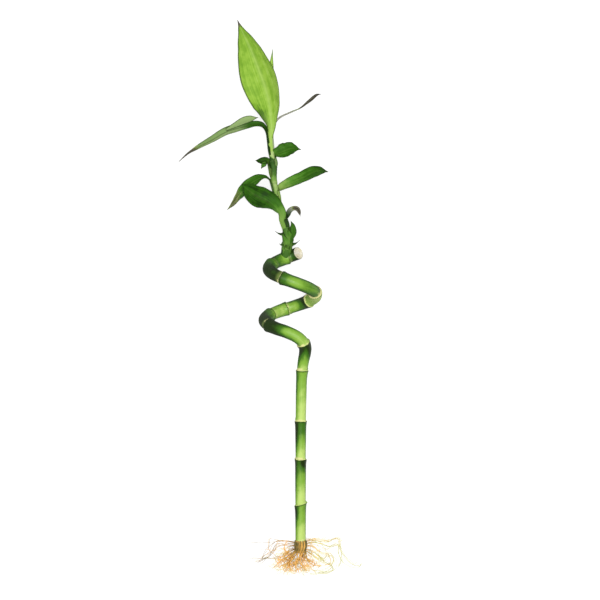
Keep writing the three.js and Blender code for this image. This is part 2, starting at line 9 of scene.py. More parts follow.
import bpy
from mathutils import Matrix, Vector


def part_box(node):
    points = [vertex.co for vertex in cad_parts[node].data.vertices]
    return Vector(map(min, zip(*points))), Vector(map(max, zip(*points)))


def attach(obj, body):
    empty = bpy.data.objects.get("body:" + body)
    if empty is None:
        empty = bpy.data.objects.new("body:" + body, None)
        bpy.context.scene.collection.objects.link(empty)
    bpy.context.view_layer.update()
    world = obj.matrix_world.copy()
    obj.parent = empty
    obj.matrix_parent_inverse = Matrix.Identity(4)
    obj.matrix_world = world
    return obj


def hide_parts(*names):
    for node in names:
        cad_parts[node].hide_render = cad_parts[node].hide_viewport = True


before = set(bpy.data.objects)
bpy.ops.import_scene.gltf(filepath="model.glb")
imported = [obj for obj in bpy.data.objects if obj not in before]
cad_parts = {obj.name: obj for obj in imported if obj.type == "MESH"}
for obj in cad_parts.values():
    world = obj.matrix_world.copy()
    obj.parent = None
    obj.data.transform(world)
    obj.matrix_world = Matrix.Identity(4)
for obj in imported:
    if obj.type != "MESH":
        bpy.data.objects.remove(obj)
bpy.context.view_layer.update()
print("nodes to dress:", ", ".join(sorted(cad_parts)))

# %% [markdown]
# ## Units
#
# A grower measures a cane in millimetres, and Blender measures in metres. The shapes below are thought out
# in millimetres in the grower's own coordinates, and one helper turns them into the frame's metres at the
# end. +Y runs along the plant from the roots to the top leaf, +Z is up off the floor.

# %% Units and the two coordinate systems
import math
import random

import bpy
import numpy as np

scene = bpy.context.scene
MM = 0.001
OUTLINE_MIDDLE = np.array([1.1352, 0.5993, 0.0])  # of the whole plant, in the grower's coordinates


def to_frame(points):
    """Millimetres in the grower's coordinates become metres in the frame."""
    return (np.asarray(points, float) - OUTLINE_MIDDLE) * MM


print("the middle of the plant's outline, in the grower's mm:", *OUTLINE_MIDDLE)

# %% [markdown]
# ## Camera
#
# The photograph looks at the plant square on from far away, so the plant shows with hardly any perspective.
# Laid down, the same view is from straight above. A long lens three metres up gives it: at 200 mm the frame
# is 540 mm wide at the plant, which is 0.9 mm to a pixel.

# %% Set up the camera
FRAME_WIDTH = 0.540  # what the picture shows, from left to right, at the height of the plant's middle
VIEW_CENTRE = (0.0313, -0.0015, 0.025)
CAMERA_HEIGHT = 3.0
SENSOR = 36.0

camera = bpy.data.objects.new("camera", bpy.data.cameras.new("camera"))
camera.data.sensor_width = SENSOR
camera.data.lens = SENSOR * CAMERA_HEIGHT / FRAME_WIDTH
camera.data.clip_end = 50
camera.location = (VIEW_CENTRE[0], VIEW_CENTRE[1], VIEW_CENTRE[2] + CAMERA_HEIGHT)
scene.collection.objects.link(camera)
scene.camera = camera
print("lens", round(camera.data.lens), "mm, looking straight down")

# %% [markdown]
# ## Light
#
# The photograph is a studio cut-out: white all round, hardly a shadow, and a broad highlight down the
# middle of each stretch of cane. One large soft box hangs above the plant, a little to the right, which
# leaves the left flank of the cane darker. A small lamp beside it draws the highlight, and a faint white
# sky reaches what the two miss. The lamps are kept out of the camera's sight, so they never show in a view
# from the side.

# %% Hang the lamps
SKY = 0.2


def soft_box(name, place, size, power):
    """A square lamp that shines at the middle of the plant."""
    lamp = bpy.data.lights.new(name, "AREA")
    lamp.size = size
    lamp.energy = power
    box = bpy.data.objects.new(name, lamp)
    box.location = place
    x, y, z = place
    box.rotation_euler = (math.atan2(math.hypot(x, y), z), 0, math.atan2(y, x) + math.pi / 2)
    box.visible_camera = False
    scene.collection.objects.link(box)


soft_box("key_lamp", (0.08, 0.04, 2.2), size=1.8, power=76)
soft_box("gleam_lamp", (0.1, 0.06, 2.6), size=0.3, power=16)

world = bpy.data.worlds.new("white_studio")
world.use_nodes = True
background = world.node_tree.nodes["Background"]
background.inputs["Color"].default_value = (1, 1, 1, 1)
background.inputs["Strength"].default_value = SKY
scene.world = world
scene.view_settings.view_transform = "Standard"
scene.view_settings.look = "None"

# %% [markdown]
# ## Building blocks for materials
#
# A material is a tree of nodes. Adding a node, setting it and wiring its sockets takes three lines each
# time, so a small class does all three: a value that is itself a socket is wired, anything else is typed
# in. With it, a material reads like a recipe.

# %% Colours as they have to look
LAMP_GAIN = 1.7  # how much brighter than its own colour the lamps show a surface that faces them
GREENS = ("Deep", "Leafy", "Fresh", "Pale")


def hue(seen, gain=LAMP_GAIN):
    """The linear colour of a surface that has to look like a web colour, such as 2f6b16, under the lamps."""
    channels = [int(seen[i : i + 2], 16) / 255 for i in (0, 2, 4)]
    linear = [c / 12.92 if c <= 0.04045 else ((c + 0.055) / 1.055) ** 2.4 for c in channels]
    return (*[c / gain for c in linear], 1)


print("to look like 2f6b16 a leaf has the linear colour", [round(c, 3) for c in hue("2f6b16")[:3]])


# %% Recipes that fill node trees
class Recipe:
    """The steps that fill the node tree of one material or group."""

    def __init__(self, tree):
        self.tree = tree

    def fill(self, made, inputs):
        """Sets a node's inputs, by name or by number."""
        for key, value in inputs.items():
            if isinstance(value, bpy.types.NodeSocket):
                self.tree.links.new(value, made.inputs[key])
            else:
                made.inputs[key].default_value = value
        return made.outputs

    def node(self, kind, inputs=None, **settings):
        """Adds a node and hands over its outputs."""
        made = self.tree.nodes.new("ShaderNode" + kind)
        for name, value in settings.items():
            setattr(made, name, value)
        return self.fill(made, inputs or {})

    def group(self, group, inputs):
        """Adds a shared effect, with this material's own values."""
        return self.node("Group", inputs, node_tree=group)

    def layer(self, name, kind="Fac"):
        """A measure that was stored on the mesh's points, such as how dry the leaf is there."""
        return self.node("Attribute", attribute_name=name)[kind]

    def noise(self, vector, scale, detail, roughness=0.5):
        inputs = {"Vector": vector, "Scale": scale, "Detail": detail, "Roughness": roughness}
        return self.node("TexNoise", inputs)["Fac"]

    def math(self, operation, a, b=0.0):
        return self.node("Math", {0: a, 1: b}, operation=operation)[0]

    def nudge(self, noise, reach):
        """Noise from 0 to 1 becomes a nudge of up to half of reach to each side."""
        return self.node("Math", {0: noise, 1: reach, 2: -reach / 2}, operation="MULTIPLY_ADD")[0]

    def ramp(self, value, low, high, at_low=0.0, at_high=1.0):
        """Goes smoothly from at_low to at_high while value goes from low to high."""
        inputs = {"Value": value, "From Min": low, "From Max": high, "To Min": at_low, "To Max": at_high}
        return self.node("MapRange", inputs, interpolation_type="SMOOTHSTEP")["Result"]

    def blend(self, share, a, b):
        """Colour a turns into colour b as share goes from 0 to 1."""
        return self.node("Mix", {0: share, 6: a, 7: b}, data_type="RGBA")[2]

    def finish(self, shader, colour, rough, height, strength, depth):
        """Wires the shader. height, strength and depth are those of the fine relief."""
        bump = self.node("Bump", {"Strength": strength, "Distance": depth, "Height": height})
        self.fill(shader, {"Base Color": colour, "Roughness": rough, "Normal": bump["Normal"]})


# %% New groups and new materials
def new_group(name, inputs, outputs):
    """An empty node group with named sockets: its recipe, what it is given, and the node for its results."""
    tree = bpy.data.node_groups.new(name, "ShaderNodeTree")
    for socket, (kind, value) in inputs.items():
        made = tree.interface.new_socket(name=socket, in_out="INPUT", socket_type="NodeSocket" + kind)
        if value is not None:
            made.default_value = value
    for socket, kind in outputs.items():
        tree.interface.new_socket(name=socket, in_out="OUTPUT", socket_type="NodeSocket" + kind)
    return Recipe(tree), tree.nodes.new("NodeGroupInput").outputs, tree.nodes.new("NodeGroupOutput")


def new_material(name, specular):
    """A new material, its shader and its recipe."""
    material = bpy.data.materials.new(name)
    material.use_nodes = True
    shader = material.node_tree.nodes["Principled BSDF"]
    shader.inputs["Specular IOR Level"].default_value = specular
    return material, shader, Recipe(material.node_tree)


# %% [markdown]
# ## Effects that several materials share
#
# All the tissue of this plant is fibrous: cane, shoot, leaves and roots carry fine streaks along their
# growth. Each mesh below stores where a point was before the plant bent, in millimetres: round the stem or
# across the blade, and along it. Noise that is read in those straightened coordinates, squeezed along the
# growth, gives streaks that follow every bend. The greens, the flecks and the dry patches are groups too.

# %% The fibre group
def build_fibres():
    inputs = {"Grown": ("Vector", None), "Fineness": ("Float", 1.0), "Length": ("Float", 12.0)}
    mix, given, result = new_group("fibres", inputs, {"Streaks": "Float", "Patches": "Float"})
    fine = given["Fineness"]
    lengthways = mix.math("DIVIDE", fine, given["Length"])
    scale = mix.node("CombineXYZ", {0: fine, 1: fine, 2: lengthways})[0]
    squeezed = mix.node("VectorMath", {0: given["Grown"], 1: scale}, operation="MULTIPLY")[0]
    streaks = mix.ramp(mix.noise(squeezed, 1.0, 4.0, 0.62), 0.28, 0.72)
    patches = mix.ramp(mix.noise(given["Grown"], 0.16, 3.0), 0.3, 0.7)
    mix.fill(result, {"Streaks": streaks, "Patches": patches})
    return mix.tree


# %% The greens group
def build_greens():
    """Four greens from deep to pale, mixed by a tone from 0 to 1."""
    inputs = {"Tone": ("Float", 0.5), **{name: ("Color", (0.1, 0.3, 0.03, 1)) for name in GREENS}}
    mix, given, result = new_group("greens", inputs, {"Colour": "Color"})
    colour = given["Deep"]
    for step, name in enumerate(GREENS[1:]):
        colour = mix.blend(mix.ramp(given["Tone"], step / 3, (step + 1) / 3), colour, given[name])
    mix.fill(result, {"Colour": colour})
    return mix.tree


# %% The flecks group
def build_flecks():
    """Small scattered marks, such as scars and corky dots."""
    inputs = {"Grown": ("Vector", None), "Spacing": ("Float", 4.0), "Share": ("Float", 0.3)}
    mix, given, result = new_group("flecks", inputs, {"Mask": "Float"})
    density = mix.math("DIVIDE", 1.0, given["Spacing"])
    cells = mix.node("TexVoronoi", {"Vector": given["Grown"], "Scale": density, "Randomness": 1.0})
    pick = mix.node("SeparateColor", {0: cells["Color"]})[0]
    chosen = mix.math("LESS_THAN", pick, given["Share"])
    mark = mix.ramp(cells["Distance"], 0.05, 0.2, 1.0, 0.0)
    mix.fill(result, {"Mask": mix.math("MULTIPLY", chosen, mark)})
    return mix.tree


# %% The dryness group
def build_drying():
    """Where tissue has dried: a stored dryness whose border is broken up along the fibres."""
    inputs = {"Dry": ("Float", 0.0), "Streaks": ("Float", 0.5), "Patches": ("Float", 0.5)}
    mix, given, result = new_group("drying", inputs, {"Mask": "Float", "Edge": "Float"})
    frayed = mix.math("ADD", mix.nudge(given["Streaks"], 0.35), mix.nudge(given["Patches"], 0.3))
    broken = mix.math("ADD", given["Dry"], frayed)
    mix.fill(result, {"Mask": mix.ramp(broken, 0.6, 0.8), "Edge": mix.ramp(broken, 0.25, 0.45)})
    return mix.tree


fibres, greens, flecks, drying = build_fibres(), build_greens(), build_flecks(), build_drying()
print("shared effects:", ", ".join(group.name for group in bpy.data.node_groups))

# %% [markdown]
# ## Lines that grew, and skins over them
#
# Cane, shoot, leaf and root are all the same idea: a smooth line with a cross-section that changes along
# it. Blender's curve objects could sweep a fixed section, but here every section differs, so the skins are
# made point by point with numpy. The line is a Catmull-Rom curve, which passes through each point that the
# grower set, and its frame is carried along with no more twist than the bends ask for.

# %% Smooth lines through a few points
def unit(vectors):
    return vectors / np.linalg.norm(vectors, axis=-1, keepdims=True)


def dot(a, b):
    return (a * b).sum(-1, keepdims=True)


def smooth(value, low, high):
    share = np.clip((value - low) / (high - low), 0, 1)
    return share * share * (3 - 2 * share)


def spline(points, where, centripetal=True):
    """Places and slopes on a Catmull-Rom curve. where is 0 at the first point, 1 at the second, and so on."""
    points = np.asarray(points, float)
    first, last = points[0], points[-1]
    if centripetal:
        first, last = 2 * first - points[1], 2 * last - points[-2]
    padded = np.vstack([first, points, last])
    i = np.clip(np.floor(where).astype(int), 0, len(points) - 2)
    w = (where - i)[:, None]
    p0, p1, p2, p3 = (padded[i + k] for k in range(4))
    if centripetal:
        pairs = ((p0, p1), (p1, p2), (p2, p3))
        d0, d1, d2 = (np.sqrt(np.linalg.norm(b - a, axis=1, keepdims=True)) for a, b in pairs)
        t1 = ((p1 - p0) / d0 - (p2 - p0) / (d0 + d1) + (p2 - p1) / d1) * d1
        t2 = ((p2 - p1) / d1 - (p3 - p1) / (d1 + d2) + (p3 - p2) / d2) * d1
    else:
        t1, t2 = (p2 - p0) / 2, (p3 - p1) / 2
    square, cube = 3 * (p2 - p1) - 2 * t1 - t2, 2 * (p1 - p2) + t1 + t2
    return p1 + t1 * w + square * w**2 + cube * w**3, t1 + 2 * square * w + 3 * cube * w**2


# %% A line with a frame along it
class Route:
    """A smooth line through points, with a frame at any distance along it."""

    def __init__(self, points, samples=900):
        self.spots, slopes = spline(points, np.linspace(0, len(points) - 1, samples + 1))
        self.tangents = unit(slopes)
        steps = np.linalg.norm(np.diff(self.spots, axis=0), axis=1)
        self.distances = np.concatenate([[0], np.cumsum(steps)])
        self.length = self.distances[-1]
        normal, normals = np.array([0, 0, 1.0]), []
        for tangent in self.tangents:
            normal = unit(normal - tangent * (normal @ tangent))
            normals.append(normal)
        self.normals = np.array(normals)

    def _between(self, values, distances):
        return np.stack([np.interp(distances, self.distances, values[:, c]) for c in range(3)], 1)

    def frames(self, distances):
        """Point, way ahead, up and side at each distance."""
        ahead = unit(self._between(self.tangents, distances))
        up = self._between(self.normals, distances)
        up = unit(up - ahead * dot(up, ahead))
        return self._between(self.spots, distances), ahead, up, np.cross(ahead, up)

    def distance_near(self, spot):
        return self.distances[np.argmin(np.linalg.norm(self.spots - spot, axis=1))]

    def distance_at_y(self, y):
        """Where the line first reaches y, whichever way it runs."""
        falls = self.spots[0, 1] > self.spots[-1, 1]
        reached = self.spots[:, 1] <= y if falls else self.spots[:, 1] >= y
        return self.distances[np.argmax(reached)]


bow = Route([(0, 0, 0), (10, 4, 0), (20, 0, 0)])
print("a bow that rises 4 mm over 20 mm is", round(bow.length, 1), "mm long")


# %% Skins over rings of points
def around(up, side, sides):
    """The angles round a line, and the way out from the line at each."""
    angle = np.linspace(0, 2 * math.pi, sides, endpoint=False)[None, :] * np.ones((len(up), 1))
    return angle, up[:, None] * np.cos(angle)[..., None] + side[:, None] * np.sin(angle)[..., None]


def straightened(radius, angle, along):
    """Where the points of a stem were before it bent."""
    along = along * np.ones_like(angle)
    return np.stack([radius * np.cos(angle), radius * np.sin(angle), along], -1).reshape(-1, 3)


def tube(rings):
    """Points and faces of a closed skin over rings that run counter-clockwise about the way ahead."""
    rows, sides = rings.shape[:2]
    i, k = np.meshgrid(np.arange(rows - 1), np.arange(sides), indexing="ij")
    a, b = i * sides + k, i * sides + (k + 1) % sides
    walls = np.stack([a, b, b + sides, a + sides], -1).reshape(-1, 4).tolist()
    caps = [list(range(sides))[::-1], list(range((rows - 1) * sides, rows * sides))]
    return rings.reshape(-1, 3), walls + caps


def ribbon(rings):
    """The same for flat rings: an upper face and an under face. The ends are closed by strips across them."""
    rows, sides = rings.shape[:2]
    points, faces = tube(rings)
    faces = faces[:-2]
    last = (rows - 1) * sides
    for k in range(sides // 2 - 1):
        low, high = k, sides - 1 - k
        faces.append([low, high, high - 1, low + 1])
        faces.append([last + low, last + low + 1, last + high - 1, last + high])
    return points, faces


# %% Pieces that stand for CAD nodes
def joined(skins):
    """Several skins, each of points, faces and layers, as one."""
    faces, start = [], 0
    for points, own, _ in skins:
        faces += [[i + start for i in face] for face in own]
        start += len(points)
    layers = {key: np.concatenate([skin[2][key] for skin in skins]) for key in skins[0][2]}
    return np.concatenate([skin[0] for skin in skins]), faces, layers


def plant_piece(name, skin, material, slot, *nodes):
    """Turns a skin into a Blender object that rides on the plant and stands for CAD nodes."""
    points, faces, layers = skin
    mesh = bpy.data.meshes.new(name)
    mesh.from_pydata(to_frame(points).tolist(), [], faces)
    for key, values in layers.items():
        vector = np.ndim(values) == 2
        made = mesh.attributes.new(key, "FLOAT_VECTOR" if vector else "FLOAT", "POINT")
        made.data.foreach_set("vector" if vector else "value", np.asarray(values, np.float32).ravel())
    mesh.shade_smooth()
    mesh.materials.append(material)
    piece = bpy.data.objects.new(name, mesh)
    scene.collection.objects.link(piece)
    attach(piece, "root")
    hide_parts(*nodes)
    corners = np.array([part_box(node_name) for node_name in nodes]).reshape(-1, 2, 3)
    low, high = corners[:, 0].min(0) / MM, corners[:, 1].max(0) / MM
    own = to_frame(points) / MM
    past = np.maximum(low - own.min(0), own.max(0) - high).max()
    print(f"{name}: {len(points)} points, {len(faces)} faces, {past:.1f} mm past the box of its nodes")


# %% [markdown]
# ## The cane: its line
#
# A grower bends a cane by turning the pot towards the light for months, so it winds like a corkscrew,
# evenly and a little wider towards the roots, and then runs straight. The coil is a formula, one point
# every 22 degrees, and only the bend out of it and the straight foot are given points.

# %% Wind the cane
COIL_X = 24.6  # the line that the coil winds round, along Y
COIL_PITCH = 46.4
COIL_BACK_Y = 39  # where the top turn passes the back of the coil
COIL_START, COIL_END, COIL_STEP = 70, 632, 22  # degrees round the coil: 90 is its back, 270 its front
COIL_TOP_RADIUS = 19
COIL_GROWTH = 4.9 / 472  # per degree
RESTS_AT, REST_DEPTH = 450, 0.35  # the degree that lies on the floor, and how much is pressed flat there
COIL_THICK, STEM_THICK = 11.4, 9.7
THINNING = (-75, -32)  # where along Y the one becomes the other
FOOT = np.array([33, -225, 17.0])
BEND_AND_STEM = [
    (30.1, -34, 53), (34.7, -38.2, 51.3), (37, -43, 48.8), (37, -48, 46.6), (35.6, -55, 44.6),
    (34.2, -66, 42.3), (33.4, -91, 38), (33, -145, 29.4), FOOT,
]


def coil_radius(turn):
    return COIL_TOP_RADIUS + COIL_GROWTH * (turn - COIL_START)


def coil_point(turn):
    angle, radius = math.radians(turn), coil_radius(turn)
    axis_height = coil_radius(RESTS_AT) + COIL_THICK / 2 - REST_DEPTH
    y = COIL_BACK_Y - COIL_PITCH * (turn - 90) / 360
    return (COIL_X + radius * math.cos(angle), y, axis_height - radius * math.sin(angle))


coil = [coil_point(turn) for turn in range(COIL_START, COIL_END, COIL_STEP)]
cane_route = Route(coil + BEND_AND_STEM)
print("the cane is", round(cane_route.length), "mm long along its middle")

# %% [markdown]
# ## The cane: its nodes
#
# Each ring on the cane is the scar of a leaf that once wrapped round it. The rim is a thin, slightly wavy
# ridge. The cane is a little slimmer just above it and swells again below, and here and there a sleeping
# bud shows as a bump above the ring. One table holds what makes the stretches between rings differ: how
# dark the green is just under the upper ring and how pale just above the lower one, and how much of a
# greyish wax is left on it.

# %% Place the nodes
COIL_NODES = (98, 152, 247, 345, 404, 459, 503, 575)  # by their degree round the coil
STEM_NODES = (-39, -63.5, -108.5, -143, -183, -218)  # by their place along the plant
node_places = [cane_route.distance_near(coil_point(turn)) for turn in COIL_NODES]
node_places += [cane_route.distance_at_y(y) for y in STEM_NODES]
print(len(node_places), "rings, the first at", round(node_places[0]), "mm from the sawn top")

# %% Set what differs from ring to ring
# One row for each stretch, from the sawn top down: its tone under the upper ring and above the lower one, how
# much wax it has, and how wide the cream band over the lower ring is, in mm.
STRETCHES = [
    (0.12, 0.3, 0.0, 0.8), (0.66, 0.4, 0.0, 0.9), (0.64, 0.2, 0.0, 1.5), (0.46, 0.56, 0.0, 3.6),
    (1.35, 1.1, 0.3, 1.0), (0.3, 0.74, 0.0, 1.2), (0.68, 0.92, 0.0, 1.0), (0.62, 0.28, 0.1, 1.8),
    (0.1, 0.8, 0.0, 1.3), (0.16, 0.86, 0.0, 1.8), (0.66, 1.02, 0.0, 1.6), (0.3, 0.98, 0.0, 1.7),
    (0.38, 1.06, 0.0, 0.3), (0.58, 1.05, 0.0, 2.4), (0.85, 0.85, 0.0, 0.0),
]
# How far a leaning ring is from its mean place at its right side and at its near side, in mm.
LEANS = {
    3: (-0.8, 0.5), 7: (0.6, 0.4), 8: (-0.5, -0.4), 9: (0.4, 0.3), 11: (-0.3, 0), 12: (1.4, 0.4),
    13: (0.3, 0.2),
}
LEAN_REACH = 9  # how far along the cane a lean is felt
# Marks: the dark ones are partly the cane's own blotches and partly painted shade, where the cane passes
# under itself and on the left flank of the straight part; the pale ones are painted highlights. Columns:
# after which ring, how far past it, how long, which way they look (right, near), and how dark, or how pale
# where it is below zero.
MARKS_SHADE_AND_HIGHLIGHTS = [
    (2, 13.0, 5.0, (0.1, 1), -0.22),
    (4, 13.0, 4.0, (0, 1), -0.2),
    (5, 6.0, 4.0, (0, 1), -0.12),
    (7, 20.0, 4.5, (0.1, 1), -0.22),
    (2, 1.5, 3.5, (0.2, 1), 0.2),
    (4, 1.0, 2.0, (-1, 1), 0.5),
    (6, 14.0, 5.0, (-1, 0.6), 0.3),
    (7, 1.0, 3.0, (-0.5, 1), 0.4),
    (8, 4.0, 9.0, (1, 0.4), 0.35),
    (11, 2.5, 5.0, (1, 1), 0.5),
    (10, 8.0, 14.0, (-1, 0.3), 0.25),
    (12, 6.0, 10.0, (-1, 0.3), 0.25),
]
# Sleeping buds, node by node: the side of the cane that they sit on, in radians, and how far they stand out.
BUDS = {2: (0.9, 0.55), 5: (2.4, 0.55), 9: (-1.2, 0.5), 10: (1.9, 0.55), 12: (-1.35, 1.1)}
print(len(STRETCHES), "stretches,", len(LEANS), "leaning rings,", len(MARKS_SHADE_AND_HIGHLIGHTS), "marks,", len(BUDS), "buds")

# %% Shape the rings
# Near a ring: the distance past it in mm, and the radius there against the cane's own. The waist lies before
# the next ring.
RIM = 1.16
RING_SHAPE = ((-0.8, 0.95), (0, RIM), (1.2, RIM - 0.05), (4, 1.04), (9, 1.0))
WAIST = (-1.5, 0.95)
GRID, SOFT, TAIL = 0.1, 0.3, 12  # the profile's step, how soft its corners are, and over how many steps
stops = [(0, 1.0)]
for place, following in zip(node_places, [*node_places[1:], cane_route.length]):
    stops += [(place + past, wide) for past, wide in RING_SHAPE] + [(following + WAIST[0], WAIST[1])]
grid = np.arange(0, cane_route.length, GRID)
rough_profile = np.interp(grid, *zip(*sorted(stops)))
kernel = np.exp(-0.5 * (np.arange(-TAIL, TAIL + 1) * GRID / SOFT) ** 2)
cane_profile = np.convolve(np.pad(rough_profile, TAIL, "edge"), kernel / kernel.sum(), "valid")
print(f"rings and waists: {cane_profile.min():.2f} to {cane_profile.max():.2f} times the cane's plain radius")

# %% [markdown]
# ## The cane: its skin
#
# The skin is a fine tube. Rings are read from the smoothed profile at a distance that is shifted a little
# round the cane, which makes the ridges wavy and lets some of them lean. A soft sum of waves takes the
# lathe-like roundness away. The sawn top dips to a dish of dried pith inside its hard rim. The lowest ridge
# of the coil is pressed flat where it carries the plant.

# %% The cane's measures, and its unevenness
CANE_SIDES = 56
ROW_STEP = 0.8  # mm between two rows of the skin
NEAR_RING = np.arange(-3.2, 3.4, 0.22)  # where the rows lie close to a ring
CUT_DISH = 0.9  # depth of the pith at the sawn top
# Across the sawn top, from its middle out: the share of the radius, and the share of that depth.
CUT_SHAPE = (
    (0.04, 0.95), (0.2, 1.0), (0.42, 1.05), (0.6, 0.95), (0.7, 0.6), (0.77, 0.12), (0.84, 0), (0.93, 0.02),
)
CUT_SLANT, CUT_EASE = 3, 9  # how much the saw slanted, and the length over which the cane makes up for it
STUB = 7.0  # the length of foot that the roots hide
BUD_ABOVE, BUD_WIDE, BUD_LONG = 1.8, 1.3, 1.2  # a bud's place over its ring, and its size
WAVY = 0.22  # mm by which a ring wanders up and down on its way round
LUMPY = 0.011  # how far the cane is from round, as a share of its radius
FLUTES, FLUTE_HEIGHT = 23, 0.03  # the fine ridges along it
BROWN_FOOT = (8, 2)  # mm from its lower end: where the cane starts to turn brown, and where it is brown
waves = random.Random(4)


def unevenness(angle, along, parts, length):
    """A smooth sum of waves round and along, between about -1 and 1."""
    total = 0
    for _ in range(parts):
        rounds = waves.choice((1, 2, 2, 3))
        rate = waves.uniform(-1, 1) * 2 * math.pi / length
        total = total + np.sin(rounds * angle + rate * along + waves.random() * 6)
    return total / parts**0.5


# %% What a stem's material is told
PAINTED_LIGHT_FROM = unit(np.array([0.3, 0, 1.0]))  # the way the painted light comes from: the side towards it stays pale, the flanks get painted shade
PAINTED_SHADE_DEPTH = 0.42  # how much lower the tone of the far side is: painted shade
FAR = 8  # mm from a ring, where it no longer changes a stem's colour


def painted_lit_share(out):
    """How much painted light each side of a stem gets: 1 on the side towards it, 0 well round the far side,
    which gets painted shade.
    """
    return smooth(out @ PAINTED_LIGHT_FROM, 0.15, 0.98)


def marks_shade_and_highlights_at(past, stretch, out):
    """How much darker the blotches and the painted shade make each point, or paler, as a painted highlight,
    where it is below zero.
    """
    total = 0
    for ring, middle, reach, (right, near), depth in MARKS_SHADE_AND_HIGHLIGHTS:
        seen = smooth(out @ unit(np.array([right, 0, near])), 0.45, 0.95)
        total = total + depth * seen * np.exp(-(((past - middle) / reach) ** 2)) * (stretch == ring + 1)
    return total


def cane_layers(along, angle, radius, cut, out):
    """What the cane's material wants to know at each point."""
    places = np.array(node_places)
    stretch = np.searchsorted(places, along)
    bounds = np.concatenate([[0], places, [cane_route.length]])
    past, left = along - bounds[stretch], bounds[stretch + 1] - along
    top, bottom, wax, band = np.moveaxis(np.array(STRETCHES)[stretch], -1, 0)
    share = smooth(past / (past + left), 0.02, 0.98)
    # painted shade: the flanks that turn away from the painted light get a lower tone
    shaded = PAINTED_SHADE_DEPTH * (1 - painted_lit_share(out))
    return {
        "grown": straightened(radius, angle, along),
        # the marks add blotches and painted shade, and painted highlights where they are below zero
        "tone": (top + (bottom - top) * share - shaded - marks_shade_and_highlights_at(past, stretch, out)).ravel(),
        "band": band.ravel(),
        "past_ring": np.where(stretch > 0, np.minimum(past, FAR), FAR).ravel(),
        "to_ring": np.where(stretch < len(places), np.minimum(left, FAR), FAR).ravel(),
        "wax": (wax * (1 - 0.5 * share)).ravel(),
        "matt": 1 - painted_lit_share(out).ravel(),
        "cut": cut.ravel(),
        "foot": smooth(along, cane_route.length - BROWN_FOOT[0], cane_route.length - BROWN_FOOT[1]).ravel(),
    }


# %% Put the cane's skin together
def make_cane_skin():
    near_rings = [place + step for place in node_places for step in NEAR_RING]
    along = np.unique(np.round([*np.arange(0.45, cane_route.length, ROW_STEP), *near_rings], 2))
    along = along[(along > 0.4) & (along < cane_route.length - 0.6)]
    dished = [depth * CUT_DISH for _, depth in CUT_SHAPE]
    along = np.concatenate([dished, [0.12], along, [cane_route.length]])
    across = [share for share, _ in CUT_SHAPE] + [0.98]
    shares = np.concatenate([across, np.ones(len(along) - len(across) - 1), [0.8]])
    cut = (np.arange(len(along)) < len(CUT_SHAPE)).astype(float)

    point, ahead, up, side = cane_route.frames(along)
    angle, out = around(up, side, CANE_SIDES)
    distance = along[:, None] * np.ones_like(angle)
    shifted = distance + WAVY * unevenness(angle, distance, 5, 9)
    for i, (right, near) in LEANS.items():
        reach = np.exp(-(((distance - node_places[i]) / LEAN_REACH) ** 2))
        shifted = shifted + reach * (right * out[..., 0] + near * out[..., 2])

    plain = COIL_THICK + (STEM_THICK - COIL_THICK) * (1 - smooth(point[:, 1], *THINNING))
    radius = plain[:, None] / 2 * np.interp(shifted, grid, cane_profile)
    radius = radius * (1 + LUMPY * unevenness(angle, distance, 6, 30)) + FLUTE_HEIGHT * np.sin(FLUTES * angle)
    for i, (turn, height) in BUDS.items():
        round_it = (np.angle(np.exp(1j * (angle - turn)))) * plain[:, None] / 2
        gone_past = distance - node_places[i] + BUD_ABOVE
        radius = radius + height * np.exp(-((round_it / BUD_WIDE) ** 2) - (gone_past / BUD_LONG) ** 2)
    stub = smooth(distance, cane_route.length - STUB - 1, cane_route.length - STUB + 1)
    radius = (radius * (1 - 0.2 * stub)) * shares[:, None]
    lean = CUT_SLANT * np.maximum(0, 1 - distance / CUT_EASE) / (COIL_THICK / 2) * radius * out[..., 2]
    rings = point[:, None] + out * radius[..., None] + ahead[:, None] * lean[..., None]
    rings[..., 2] = np.maximum(rings[..., 2], 0)
    points, faces = tube(rings)
    straight = np.clip(shifted, 0, cane_route.length - 0.01)
    return points, faces, cane_layers(straight, angle, radius, cut[:, None] * np.ones_like(angle), out)


# %% [markdown]
# ## The cane: its material
#
# A living cane is a waxy green that is darkest right under each ring, where the old leaf shaded it last,
# and fades to a yellow green above the next. The ring itself is a corky cream line with a dark edge below
# it. The mesh stores a tone for each point, with painted shade on the flanks that turn from the light, dark
# marks that are partly blotches and partly painted shade, and pale painted highlights in it, and how far it
# is from the ring above it (past_ring) and from the one below it (to_ring). The material turns these into
# colour. The same recipe with other greens and less gloss dresses the shoot's stem.

# %% The recipe for stems
MATT = 0.42  # how much rougher cork and the shaded side are


